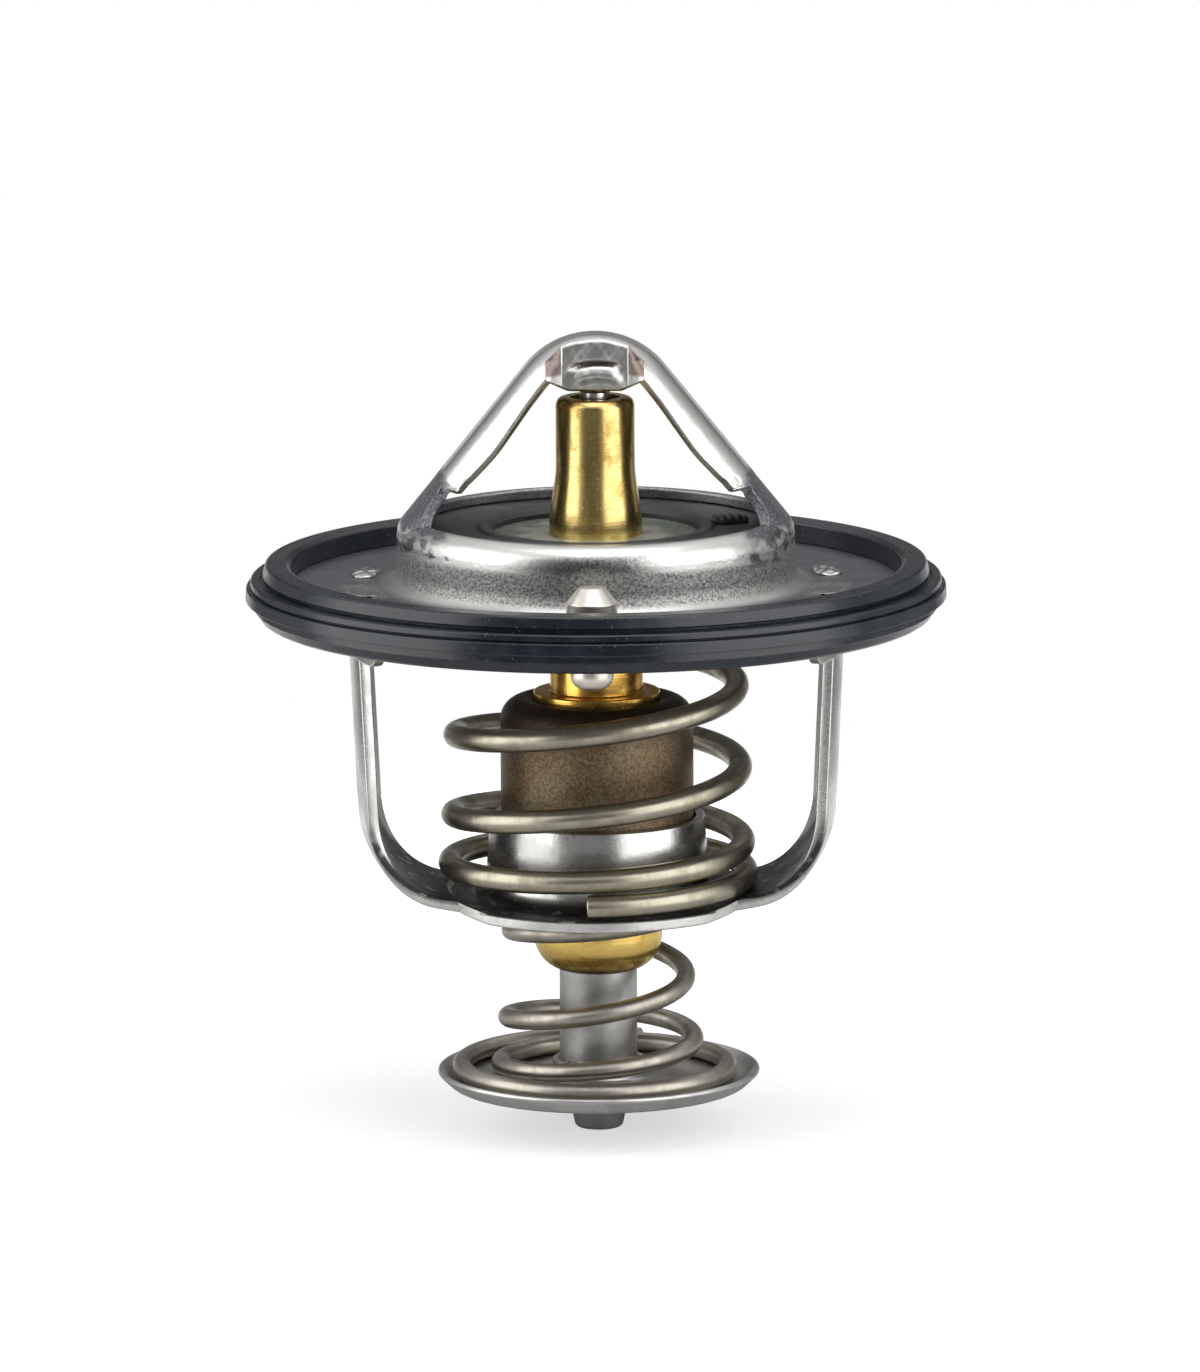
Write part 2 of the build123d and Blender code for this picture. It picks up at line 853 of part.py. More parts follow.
with BuildLine(Plane.XZ) as leg_path:
    FilletPolyline(
        (fold_line, ring_bottom),
        (corner_x, corner_z),
        (leg_outer, head_bottom),
        radius=leg_bend,
    )
arm_line, bend_arc, leg_line = leg_path.edges().sort_by(Axis.Z)
outer_curve = leg_outer - sqrt(leg_outer**2 - strap_half**2)
inner_curve = leg_outer - sheet - sqrt((leg_outer - sheet) ** 2 - strap_half**2)

with BuildPart() as frame_arm:
    with BuildSketch(Plane.XZ) as arm_section:
        with BuildLine():
            arm_end = arm_line @ 1
            Polyline(
                (fold_line, ring_bottom),
                (arm_end.X, arm_end.Z),
                (arm_end.X - sheet * sin(rise), arm_end.Z + sheet * cos(rise)),
                (fold_line - sheet * sin(rise), ring_bottom + sheet * cos(rise)),
                close=True,
            )
        make_face()
    extrude(amount=ring_radius, both=True)
    with BuildSketch(Plane.XY.offset(ring_bottom)) as arm_plan:
        Circle(ring_radius)
        Rectangle(2 * leg_outer, 2 * strap_half)
        Circle(collar_foot, mode=Mode.SUBTRACT)
    extrude(amount=ring_radius, mode=Mode.INTERSECT)


def strap_face(depth, curve):
    """One face of the strap's section, straight at the arm and curved towards the leg."""
    if curve == 0:
        return Line((-strap_half, depth), (strap_half, depth))
    return ThreePointArc((-strap_half, depth + curve), (0, depth), (strap_half, depth + curve))


def strap_section(place, tangent, rolled):
    """Section of the strap across its path, flat at 0 and rolled to the flange's circles at 1."""
    with BuildSketch(Plane(origin=place, x_dir=(0, 1, 0), z_dir=tangent)) as section:
        with BuildLine():
            outer = strap_face(0, outer_curve * rolled)
            inner = strap_face(sheet, inner_curve * rolled)
            Line(outer @ 0, inner @ 0)
            Line(outer @ 1, inner @ 1)
        make_face()
    return section.sketch


# The bend rolls the flat arm into the curved leg
with BuildPart() as frame_bend:
    sections = []
    for share in [0, 0.25, 0.5, 0.75, 1]:
        rolled = sin(pi / 2 * share) ** 2
        sections.append(strap_section(bend_arc @ share, bend_arc % share, rolled))
    loft(sections=sections)

with BuildPart() as frame_leg:
    leg_ends = [
        strap_section(leg_line @ 0, leg_line % 0, 1),
        strap_section(leg_line @ 1, (0, 0, 1), 1),
    ]
    loft(sections=leg_ends)

# Head of the leg: a wide lug rolled to the flange's circle, with two tabs for its slots
with BuildPart() as head_shell:
    with BuildSketch(Plane.XY.offset(head_bottom - sheet)):
        Circle(leg_outer)
        Circle(leg_outer - sheet, mode=Mode.SUBTRACT)
    extrude(amount=flange_top + tab_proud - head_bottom + 2 * sheet)

with BuildPart() as frame_head:
    with BuildSketch(Plane.YZ) as head_outline:
        with Locations((0, (head_bottom + flange_bottom) / 2)):
            Rectangle(2 * head_half, flange_bottom - head_bottom)
        fillet(head_outline.vertices().group_by(Axis.Z)[0], radius=head_round)
        with Locations(
            (-tab_middle, (flange_bottom + flange_top + tab_proud) / 2),
            (tab_middle, (flange_bottom + flange_top + tab_proud) / 2),
        ):
            Rectangle(tab_width, sheet + tab_proud)
    extrude(amount=flange_radius)
    add(head_shell.part, mode=Mode.INTERSECT)

with BuildPart() as lower_frame:
    add(frame_arm.part)
    add(frame_bend.part)
    add(frame_leg.part)
    add(frame_head.part)
    mirror(about=Plane.YZ)
    add(frame_ring.part)
lower_frame.part.label = "lower_frame"

# Main spring: closed end coils, a run-in and evenly pitched coils, slightly leaning
main_low = ring_top + main_rest_gap + main_wire / 2
main_high = valve_bottom - main_wire / 2
closed_pitch = main_wire * closed_share
main_active_turns = main_turns - 2 * main_dead_turns - main_run_in
main_rate = (main_high - main_low - closed_pitch * main_turns) / main_active_turns


def run_in(turn):
    """Turns counted from where a spring starts to open, eased over its run-in."""
    if turn <= 0:
        return 0
    if turn < main_run_in:
        return turn**2 / (2 * main_run_in)
    return turn - main_run_in / 2


def main_radius_at(turn):
    """The coils draw in evenly towards the valve."""
    return main_bottom_coil + (main_top_coil - main_bottom_coil) * turn / main_turns


def main_height_at(turn):
    """Closed pitch all along, plus the active pitch between the closed ends."""
    opened = run_in(turn - main_dead_turns) - run_in(turn - main_turns + main_dead_turns + main_run_in)
    lean_here = main_lean * sin(pi * turn / main_turns) ** 2
    side = cos(radians(main_start + 360 * turn))
    return main_low + closed_pitch * turn + main_rate * opened + lean_here * side


main_points = coil_points(main_turns, main_start, main_radius_at, main_height_at)

with BuildPart() as main_spring:
    with BuildLine() as main_path:
        Spline(*main_points)
    with BuildSketch(coil_start(main_points)):
        Circle(main_wire / 2)
    sweep(path=main_path.wires()[0], is_frenet=True)
main_spring.part.label = "main_spring"

# Bypass spring: a spiral on the disc that climbs as a narrow coil to the cup's step
bypass_low = dish_floor + bypass_wire / 2
bypass_high = cup_bottom - bypass_wire / 2
bypass_turns = climb_turns[-1]


def bypass_radius_at(turn):
    """Radius by turn, wide on the disc and narrow above it."""
    share = smooth_share(spread_turns, spread_shares, turn)
    return bypass_top_coil + (bypass_foot_coil - bypass_top_coil) * share


def bypass_height_at(turn):
    """Height by turn, flat on the disc and again under the cup."""
    return bypass_low + (bypass_high - bypass_low) * smooth_share(climb_turns, climb_shares, turn)


bypass_points = coil_points(bypass_turns, bypass_start, bypass_radius_at, bypass_height_at)

with BuildPart() as bypass_spring:
    with BuildLine() as bypass_path:
        Spline(*bypass_points)
    with BuildSketch(coil_start(bypass_points)):
        Circle(bypass_wire / 2)
    sweep(path=bypass_path.wires()[0], is_frenet=True)
bypass_spring.part.label = "bypass_spring"

pieces = [
    flange_bridge,
    gasket,
    lower_frame,
    main_spring,
    piston,
    backup_plate,
    rubber_plug,
    guide,
    guide_seal,
    valve_disc,
    valve_seal,
    wax_cup,
    nose_cup,
    diaphragm,
    semifluid,
    wax,
    stem,
    retaining_ring,
    bypass_disc,
    bypass_spring,
    jiggle_pin,
    jiggle_weight,
]
os.makedirs("parts", exist_ok=True)
for piece in pieces:
    export_step(piece.part, f"parts/{piece.part.label}.step")
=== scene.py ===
import bpy
import numpy as np
from math import cos, pi, radians, sin, sqrt, tan
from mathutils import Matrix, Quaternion, Vector


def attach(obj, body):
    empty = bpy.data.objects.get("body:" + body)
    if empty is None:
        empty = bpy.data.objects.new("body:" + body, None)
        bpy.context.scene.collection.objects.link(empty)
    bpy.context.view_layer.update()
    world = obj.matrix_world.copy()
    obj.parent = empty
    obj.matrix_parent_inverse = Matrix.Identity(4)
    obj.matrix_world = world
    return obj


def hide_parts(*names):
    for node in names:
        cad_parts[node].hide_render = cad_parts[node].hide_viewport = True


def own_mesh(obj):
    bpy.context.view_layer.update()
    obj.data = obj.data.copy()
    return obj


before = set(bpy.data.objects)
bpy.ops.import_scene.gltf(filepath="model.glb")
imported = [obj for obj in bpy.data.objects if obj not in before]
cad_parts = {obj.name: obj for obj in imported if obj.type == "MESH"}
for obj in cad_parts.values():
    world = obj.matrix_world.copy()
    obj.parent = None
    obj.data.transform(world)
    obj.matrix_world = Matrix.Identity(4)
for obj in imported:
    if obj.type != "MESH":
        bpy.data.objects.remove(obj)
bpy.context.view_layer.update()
print("frame loaded")

mm = 0.001
turn = 2 * pi


# Shader maths

def operator(operation, swapped=False):
    # a method that adds one Math node
    def work(self, *others):
        values = (*others, self) if swapped else (self, *others)
        return self.finish.make("ShaderNodeMath", {"operation": operation}, values)
    return work


class Wire:
    # One socket of a finish. Operators on it add Math nodes.
    __add__, __radd__ = operator("ADD"), operator("ADD", True)
    __sub__, __rsub__ = operator("SUBTRACT"), operator("SUBTRACT", True)
    __mul__, __rmul__ = operator("MULTIPLY"), operator("MULTIPLY", True)
    __pow__, __abs__ = operator("POWER"), operator("ABSOLUTE")
    sine, cosine, arctan2 = operator("SINE"), operator("COSINE"), operator("ARCTAN2")
    atMost, atLeast = operator("MINIMUM"), operator("MAXIMUM")

    def __init__(self, finish, socket):
        self.finish = finish
        self.socket = socket

    def rise(self, low, high):
        # 0 below low and 1 above high, smooth between them
        settings = {"interpolation_type": "SMOOTHSTEP"}
        values = {"Value": self, "From Min": low, "From Max": high}
        return self.finish.make("ShaderNodeMapRange", settings, values)

    def between(self, low, high, soft):
        # 1 from low to high, falling to 0 over soft on both sides
        return self.rise(low - soft, low) * (1 - self.rise(high, high + soft))


class Finish:
    # One material: a Principled shader and the nodes that feed it, in millimetres
    def __init__(self, name, **constants):
        self.material = bpy.data.materials.new(name)
        self.material.use_nodes = True
        self.tree = self.material.node_tree
        self.tree.nodes.clear()
        self.shader = self.tree.nodes.new("ShaderNodeBsdfPrincipled")
        output = self.tree.nodes.new("ShaderNodeOutputMaterial")
        self.tree.links.new(self.shader.outputs[0], output.inputs["Surface"])
        for socketName, value in constants.items():
            self.shader.inputs[socketName].default_value = value
        objectPlace = self.make("ShaderNodeTexCoord", {}, {}, "Object")
        scaling = {0: objectPlace, "Scale": 1 / mm}
        self.place = self.make("ShaderNodeVectorMath", {"operation": "SCALE"}, scaling)
        self.x, self.y, self.z = self.parts(self.place)

    def node(self, kind, settings, values):
        made = self.tree.nodes.new(kind)
        for key, value in settings.items():
            setattr(made, key, value)
        pairs = values.items() if isinstance(values, dict) else enumerate(values)
        for key, value in pairs:
            if isinstance(value, Wire):
                self.tree.links.new(value.socket, made.inputs[key])
            else:
                made.inputs[key].default_value = value
        return made

    def make(self, kind, settings, values, out=0):
        return Wire(self, self.node(kind, settings, values).outputs[out])

    def parts(self, vector):
        split = self.node("ShaderNodeSeparateXYZ", {}, [vector])
        return [Wire(self, split.outputs[axis]) for axis in "XYZ"]

    def rays(self, *kinds):
        path = self.node("ShaderNodeLightPath", {}, {})
        return [Wire(self, path.outputs[f"Is {kind} Ray"]) for kind in kinds]

    def join(self, x, y, z):
        return self.make("ShaderNodeCombineXYZ", {}, [x, y, z])

    def radius(self):
        return (self.x * self.x + self.y * self.y) ** 0.5

    def wound(self, across, height):
        # a place for marks that run round the axis: the direction from it times across, and a height
        angle = self.y.arctan2(self.x)
        return self.join(angle.cosine() * across, angle.sine() * across, height)

    def noise(self, scale, detail=3.0, place=None, rough=0.55):
        values = {"Vector": place or self.place, "Scale": scale, "Detail": detail, "Roughness": rough}
        return self.make("ShaderNodeTexNoise", {}, values)

    def mix(self, share, first, second):
        ends = [(*end, 1.0) if isinstance(end, tuple) else end for end in (first, second)]
        return self.make("ShaderNodeMix", {"data_type": "RGBA"}, {0: share, 6: ends[0], 7: ends[1]}, 2)

    def feed(self, socketName, wire):
        self.tree.links.new(wire.socket, self.shader.inputs[socketName])

    def coat(self, colour, roughness, height):
        # height is the relief in millimetres
        self.feed("Base Color", colour)
        self.feed("Roughness", roughness)
        self.feed("Normal", self.make("ShaderNodeBump", {}, {"Height": height, "Distance": mm}))
        return self


# Surfaces: every shape is a grid of points in millimetres, worked out as whole arrays

def addObject(name, data):
    made = bpy.data.objects.new(name, data)
    bpy.context.scene.collection.objects.link(made)
    return made


def joinGrids(grids):
    # one array of points and one list of face groups from several grids
    points, groups, count = [], [], 0
    for gridPoints, gridGroups in grids:
        points.append(gridPoints)
        groups += [group + count for group in gridGroups]
        count += len(gridPoints)
    return np.concatenate(points), groups


def makePiece(name, grids, body, finish, nodes, sharp=40.0):
    # grids is a list of (points, groups of faces); they become one mesh that replaces the CAD nodes
    points, groups = joinGrids(grids)
    corners = np.concatenate([group.ravel() for group in groups])
    sides = np.concatenate([np.full(len(group), group.shape[1]) for group in groups])
    mesh = bpy.data.meshes.new(name)
    mesh.vertices.add(len(points))
    mesh.vertices.foreach_set("co", (points * mm).ravel())
    mesh.loops.add(len(corners))
    mesh.loops.foreach_set("vertex_index", corners.astype(np.int32))
    mesh.polygons.add(len(sides))
    mesh.polygons.foreach_set("loop_start", np.concatenate([[0], np.cumsum(sides)[:-1]]).astype(np.int32))
    mesh.update(calc_edges=True)
    mesh.validate()
    mesh.polygons.foreach_set("use_smooth", np.ones(len(mesh.polygons), bool))
    mesh.set_sharp_from_angle(angle=radians(sharp))
    mesh.materials.append(finish.material)
    piece = addObject(name, mesh)
    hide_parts(*nodes)
    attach(piece, body)
    print(name, len(mesh.polygons), "faces")
    return piece


def gridFaces(rows, columns, closeRows=False, flip=False):
    # quads between neighbouring points of a grid whose rows are rings of points
    i, j = np.meshgrid(np.arange(rows - (not closeRows)), np.arange(columns), indexing="ij")
    i, j = i.ravel(), j.ravel()
    nextI, nextJ = (i + 1) % rows, (j + 1) % columns
    corners = [i * columns + j, nextI * columns + j, nextI * columns + nextJ, i * columns + nextJ]
    faces = np.stack(corners, axis=1)
    return faces[:, ::-1] if flip else faces


def endedFaces(rows, columns, flip=False):
    # the same, with a flat face on the first ring and one on the last
    first = np.arange(columns)[None]
    last = first + (rows - 1) * columns
    ends = [first[:, ::-1], last] if flip else [first, last[:, ::-1]]
    return [gridFaces(rows, columns, flip=flip), *ends]


def evenAngles(count):
    return turn * np.arange(count) / count


def unit(vectors):
    return vectors / np.linalg.norm(vectors, axis=1, keepdims=True)


def meshPoints(x, y, z):
    # grids of x, y and z as one list of points; a single row or column is repeated
    return np.stack(np.broadcast_arrays(x, y, z), axis=2).reshape(-1, 3)


def lengthAlong(path):
    # how far along the path each of its points lies
    return np.concatenate([[0], np.cumsum(np.linalg.norm(np.diff(path, axis=0), axis=1))])


def sample(at, along, values):
    # each column of values, known at along, read at other places
    return np.stack([np.interp(at, along, column) for column in values.T], axis=1)


def resample(path, count):
    # the same path with evenly spaced points
    along = lengthAlong(path)
    return sample(np.linspace(0, along[-1], count), along, path)


def pathSides(path):
    # the path's direction, and the direction square to it on its outward side
    along = unit(np.gradient(path, axis=0))
    return along, np.stack([along[:, 1], -along[:, 0]], axis=1)


def rounded(corners, closed=False, steps=6, guard=0.12):
    # A path through (a, b, bend) corners. Each corner becomes an arc of radius bend, tangent to both its
    # sides, and each long side gets a point close to both its ends, so that it shades flat.
    corners = np.asarray(corners, float)
    path = []
    for k, (a, b, bend) in enumerate(corners):
        here = np.array([a, b])
        if bend == 0 or (not closed and k in (0, len(corners) - 1)):
            path.append(here[None])
            continue
        u = corners[k - 1, :2] - here
        v = corners[(k + 1) % len(corners), :2] - here
        u, v = u / np.linalg.norm(u), v / np.linalg.norm(v)
        half = np.arccos(np.clip(u @ v, -1, 1)) / 2
        middle = here + (u + v) / np.linalg.norm(u + v) * bend / sin(half)
        start, end = here + u * bend / tan(half) - middle, here + v * bend / tan(half) - middle
        swing = np.arctan2(start[0] * end[1] - start[1] * end[0], start @ end)
        angles = np.arctan2(start[1], start[0]) + swing * np.linspace(0, 1, steps + 1)
        path.append(middle + bend * np.stack([np.cos(angles), np.sin(angles)], axis=1))
    path = np.concatenate(path)
    spans = np.roll(path, -1, axis=0) - path
    lengths = np.linalg.norm(spans, axis=1)
    if not closed:
        lengths[-1] = 0
    long = (lengths > 4 * guard)[:, None]
    share = guard / np.maximum(lengths, guard)[:, None]
    trio = np.stack([path, path + spans * share, path + spans * (1 - share)], axis=1)
    return trio[beside(np.ones_like(long), long, long)]


def lathe(corners, closed=True, around=192, steps=6, cap=False):
    # An outline of (radius, height, bend) corners carried round the piston's axis
    outline = rounded(corners, closed, steps)
    r, z = outline.T
    if np.sum(r * np.roll(z, -1) - np.roll(r, -1) * z) < 0:
        outline = outline[::-1]
    r, z = outline[:, :1], outline[:, 1:]
    angles = evenAngles(around)
    points = meshPoints(r * np.cos(angles), r * np.sin(angles), z)
    if cap:
        return points, endedFaces(len(outline), around, flip=True)
    return points, [gridFaces(len(outline), around, closeRows=closed, flip=True)]


def tube(path, radius, around=20, edge=0.15):
    # A round wire: a circle carried along the path, square to it, with its first axis turned away from
    # the piston's axis. Each end is a flat face with a small round of radius edge.
    along = lengthAlong(path)
    ease = np.linspace(0, pi / 2, 4)
    endAlong, endRadius = edge * (1 - np.cos(ease)), radius - edge * (1 - np.sin(ease))
    inside = along[(along > 2 * edge) & (along < along[-1] - 2 * edge)]
    rows = np.concatenate([endAlong, inside, along[-1] - endAlong[::-1]])
    radii = np.concatenate([endRadius, np.full(len(inside), radius), endRadius[::-1]])
    middle, tangent = sample(rows, along, path), sample(rows, along, np.gradient(path, along, axis=0))
    tangent = unit(tangent)
    out = middle * [1, 1, 0]
    out = unit(out - tangent * np.sum(out * tangent, axis=1, keepdims=True))
    up = np.cross(tangent, out)
    angles = evenAngles(around)[None, :, None]
    circle = out[:, None] * np.cos(angles) + up[:, None] * np.sin(angles)
    points = (middle[:, None] + circle * radii[:, None, None]).reshape(-1, 3)
    return points, endedFaces(len(rows), around, flip=True)


def beside(*parts):
    return np.concatenate(parts, axis=1)


def stripGrid(middle, normal, halfWidth, bendAngle, bendStart, bendLength, curve, thick, edge, columns):
    # A strip of sheet along a path in the XZ plane. middle and normal give the path and its outward side,
    # one row per point. Across the path the sheet runs halfWidth each way, measured along the sheet. Its
    # slope is curve times the distance plus bendAngle, taken up evenly from bendStart over bendLength, and
    # its cut edges have a round of radius edge.
    ease = np.linspace(0, pi / 2, 4)[1:]
    q = np.linspace(0, 1, columns)[None] * (halfWidth - edge)[:, None]
    bent = np.clip((q - bendStart[:, None]) / bendLength[:, None], 0, 1)
    slope = curve[:, None] * q + bendAngle[:, None] * bent
    step = np.diff(q, axis=1)
    middleSlope = (slope[:, 1:] + slope[:, :-1]) / 2
    zero = np.zeros((len(q), 1))
    y = beside(zero, np.cumsum(np.cos(middleSlope) * step, axis=1))
    depth = beside(zero, np.cumsum(np.sin(middleSlope) * step, axis=1))
    c, s = np.cos(slope), np.sin(slope)
    innerY, innerDepth = y - thick * s, depth + thick * c
    # round the cut edge: reach goes on along the sheet and comes back, and sink goes through it
    reach, sink = edge * np.sin(ease)[None], edge * (1 - np.cos(ease))[None]
    reach, sink = beside(reach, reach[:, ::-1]), beside(sink, thick - sink[:, ::-1])
    endC, endS = c[:, -1:], s[:, -1:]
    edgeY = y[:, -1:] + endC * reach - endS * sink
    edgeDepth = depth[:, -1:] + endS * reach + endC * sink
    right = beside(y, edgeY, innerY[:, ::-1])
    down = beside(depth, edgeDepth, innerDepth[:, ::-1])
    across, down = beside(right, -right[:, -2:0:-1]), beside(down, down[:, -2:0:-1])
    x = middle[:, :1] - normal[:, :1] * down
    z = middle[:, 1:] - normal[:, 1:] * down
    return meshPoints(x, across, z), endedFaces(*down.shape)


def smooth(low, high, value):
    # 0 at low, 1 at high, with level ends
    t = np.clip((value - low) / (high - low), 0, 1)
    return t * t * (3 - 2 * t)


def throughKnots(knots, t):
    # A smooth curve through (place, value) knots: cubic between them, each knot's slope from its neighbours,
    # and level between equal values
    at, value = np.array(knots, float).T
    slope = np.empty_like(value)
    slope[1:-1] = (value[2:] - value[:-2]) / (at[2:] - at[:-2])
    slope[0] = (value[1] - value[0]) / (at[1] - at[0])
    slope[-1] = (value[-1] - value[-2]) / (at[-1] - at[-2])
    k = np.clip(np.searchsorted(at, t, side="right") - 1, 0, len(at) - 2)
    span = at[k + 1] - at[k]
    s = (t - at[k]) / span
    curve = (
        (2 * s ** 3 - 3 * s ** 2 + 1) * value[k] + (s ** 3 - 2 * s ** 2 + s) * span * slope[k]
        + (3 * s ** 2 - 2 * s ** 3) * value[k + 1] + (s ** 3 - s ** 2) * span * slope[k + 1]
    )
    return np.where(np.abs(value[k + 1] - value[k]) < 1e-6, value[k], curve)


# Finishes

def steelFinish(name, bright, dark, rough, grain=1.0, mottle=0.35, tint=(1.0, 0.985, 0.955)):
    # Pressed or drawn steel: bright metal with a mottled dull film, fine grain and short scratches
    finish = Finish(name, Metallic=1.0)
    film = finish.noise(0.22, 4).rise(0.42, 0.68)
    fine = finish.noise(3.2, 3)
    streak = finish.noise(1.0, 2, finish.join(finish.x * 1.4, finish.y * 1.4, finish.z * 14.0))
    speck = finish.noise(9.0, 2).rise(0.62, 0.78)
    shade = film * mottle + fine * 0.22 * grain + streak * 0.105
    light = tuple(bright * t for t in tint)
    dull = tuple(dark * t for t in tint)
    colour = finish.mix(shade.rise(0.05, 0.75), light, dull)
    return finish.coat(
        finish.mix(speck * 0.35 * grain, colour, tuple(0.5 * c for c in dull)),
        rough + film * 0.12 + fine * 0.1 + streak * 0.05,
        fine * 0.012 * grain + streak * 0.006 + finish.noise(0.5, 2) * 0.03,
    )


def frameFinish():
    # The lower frame: bright satin outside, and painted shade, almost black, on the ring's top, the arms' top
    # and inside the bends.
    # Each bend is round an axis at bendX and bendZ, and the arms' top rises by armRise per mm from armLow.
    finish = Finish("frameSteel", Metallic=1.0)
    x, z = abs(finish.x), finish.z
    fine = finish.noise(3.4, 3)
    cloud = finish.noise(0.3, 4).rise(0.4, 0.68)
    drawn = finish.noise(1.0, 3, finish.join(finish.x * 0.5, finish.y * 5.0, z * 0.5))
    shadeBreakup = finish.noise(0.7, 4)
    bendX, bendZ, armRise, armLow, ringTop = 12.64, -19.13, 0.1763, -29.12, -27.5
    fromX, fromZ = x - bendX, z - bendZ
    bend = (fromX * fromX + fromZ * fromZ) ** 0.5
    bendShade = bend.rise(7.0, 7.3) * (1 - bend.rise(7.7, 7.9)) * x.rise(12.4, 12.8) * (1 - z.rise(-22.5, -18.5))
    onArm = (z - x * armRise).rise(armLow - 0.12, armLow) * (1 - z.rise(-26.4, -25.8))
    armTopShade = onArm * x.rise(9.5, 10.2) * (1 - x.rise(12.5, 12.8))
    ring = z.rise(ringTop - 0.12, ringTop) * (1 - z.rise(-26.9, -26.2)) * (1 - x.rise(10.2, 10.6))
    # painted shade: the ring's top, the arms' top and the insides of the bends darkened to near black, broken
    # up by noise
    dark = (bendShade + armTopShade + ring).atMost(1.0) * shadeBreakup.rise(0.2, 0.45)
    light = finish.mix(cloud * 0.45 + drawn * 0.35, (0.63, 0.625, 0.605), (0.42, 0.415, 0.40))
    colour = finish.mix(dark * 0.93, light, (0.035, 0.034, 0.034))
    speck = finish.noise(8.0, 2).rise(0.64, 0.78)
    return finish.coat(
        finish.mix(speck * 0.3, colour, (0.2, 0.19, 0.18)),
        0.2 + cloud * 0.1 + fine * 0.1 + dark * 0.15,
        fine * 0.008 + drawn * 0.008 + finish.noise(0.5, 2) * 0.02,
    )


def bridgeFinish():
    # The upper stamping: satin bright on the bridge and the shoulder, grainy and grey on the collar's wall,
    # dark on the lower legs, a painted dark reflection on the flat flange, painted shade inside the back of
    # the collar, and brown painted shade with a painted brass reflection in the torn and pressed corners and
    # inside the strap
    finish = Finish("bridgeSteel", Metallic=1.0)
    r, x, y, z, forward = finish.radius(), abs(finish.x), abs(finish.y), finish.z, 0 - finish.y
    flat = (1 - z.rise(0.6, 1.3)) * r.rise(17.8, 19.6)
    fine = finish.noise(4.6, 3)
    smudge = finish.noise(0.5, 5, finish.join(finish.x, finish.y, z * 1.8), 0.65)
    wall = z.between(1.5, 3.7, 0.8) * r.between(16.0, 19.0, 0.5)
    leg = z.between(6.4, 10.4, 0.7) * x.rise(12.6, 13.6) * r.rise(13.0, 13.6)
    foot = z.between(5.0, 6.8, 0.8) * x.rise(12.5, 16.0) * smudge.rise(0.42, 0.55)
    front = (1 - x.rise(2.0, 7.5)) * z.between(2.5, 5.3, 0.7) * r.rise(16.0, 17.0) * forward.rise(5.0, 9.0)
    smear = z.between(3.6, 4.6, 0.5) * r.rise(17.0, 17.3) * x.rise(9.0, 13.0) * smudge.rise(0.5, 0.6)
    # each cheek's outer border slants from x 3 at its top out to 4.35
    border = ((21.95 - z) * 1.1 + 3.0).atMost(4.35)
    acrossCheek = x.rise(2.93, 2.99) * (1 - (x - border).rise(-0.06, 0.04))
    cheek = z.between(19.6, 21.9, 0.4) * acrossCheek * y.rise(1.8, 2.4)
    ledge = z.between(20.2, 20.45, 0.15) * (1 - x.rise(1.2, 2.3)) * y.between(2.0, 2.6, 0.3)
    underStrap = 1 - (z + x * 1.27).rise(25.6, 26.2)
    inside = z.rise(7.0, 8.0) * x.rise(4.6, 5.0) * (1 - y.rise(3.0, 3.4)) * underStrap
    # painted shade inside the back of the collar, where it is seen through the opening
    backInsideShade = z.rise(3.6, 4.4) * (1 - z.rise(6.6, 7.0)) * finish.y.rise(2.0, 8.0) * (1 - r.rise(17.2, 17.6))
    coarse = finish.noise(1.7, 3)
    brush = finish.noise(1.0, 3, finish.join(finish.x * 0.35, finish.y * 6.0, z * 2.0))
    cloud = finish.noise(0.28, 3).rise(0.35, 0.7)
    bright = finish.mix(cloud * 0.45 + coarse * 0.25, (0.70, 0.695, 0.675), (0.52, 0.515, 0.50))
    grainy = finish.mix(fine.rise(0.35, 0.68), (0.42, 0.41, 0.385), (0.15, 0.15, 0.16))
    # dark grey for the lower legs, their feet and a smear, and also the painted shade inside the back of the
    # collar
    darkGreyAndShade = finish.mix(fine.rise(0.3, 0.7), (0.085, 0.088, 0.10), (0.24, 0.245, 0.26))
    dark = finish.mix(brush.rise(0.3, 0.7), (0.24, 0.245, 0.26), (0.13, 0.135, 0.15))
    # brown painted shade, with a painted reflection of the brass below
    brown = finish.mix(fine, (0.13, 0.10, 0.09), (0.27, 0.22, 0.20))
    colour = finish.mix((wall + front).atMost(1.0), bright, grainy)
    colour = finish.mix((leg + foot + smear).atMost(1.0), colour, darkGreyAndShade)
    # painted dark reflection: the flat flange gets a dark brushed colour in place of what it would reflect
    colour = finish.mix(flat, colour, dark)
    colour = finish.mix(backInsideShade * 0.85, colour, darkGreyAndShade)
    patch = r.between(19.6, 22.2, 0.7) * forward.between(1.5, 7.0, 1.2) * x.rise(17.0, 18.5) * flat
    colour = finish.mix(patch * fine.rise(0.42, 0.62) * 0.8, colour, (0.45, 0.45, 0.43))
    # painted shade: the cheeks, the ledge under the socket's hollow and the strap's inside turn brown, as
    # shadow with a painted brass reflection
    colour = finish.mix((cheek + ledge + inside).atMost(1.0), colour, brown)
    scuff = finish.noise(7.0, 2).rise(0.66, 0.78) * 0.3
    return finish.coat(
        finish.mix(scuff, colour, (0.28, 0.27, 0.26)),
        0.26 + wall * 0.2 + leg * 0.2 + flat * 0.12 + fine * 0.1 + cloud * 0.05,
        fine * (0.008 + wall * 0.03 + leg * 0.03) + coarse * 0.02 + brush * flat * 0.02,
    )


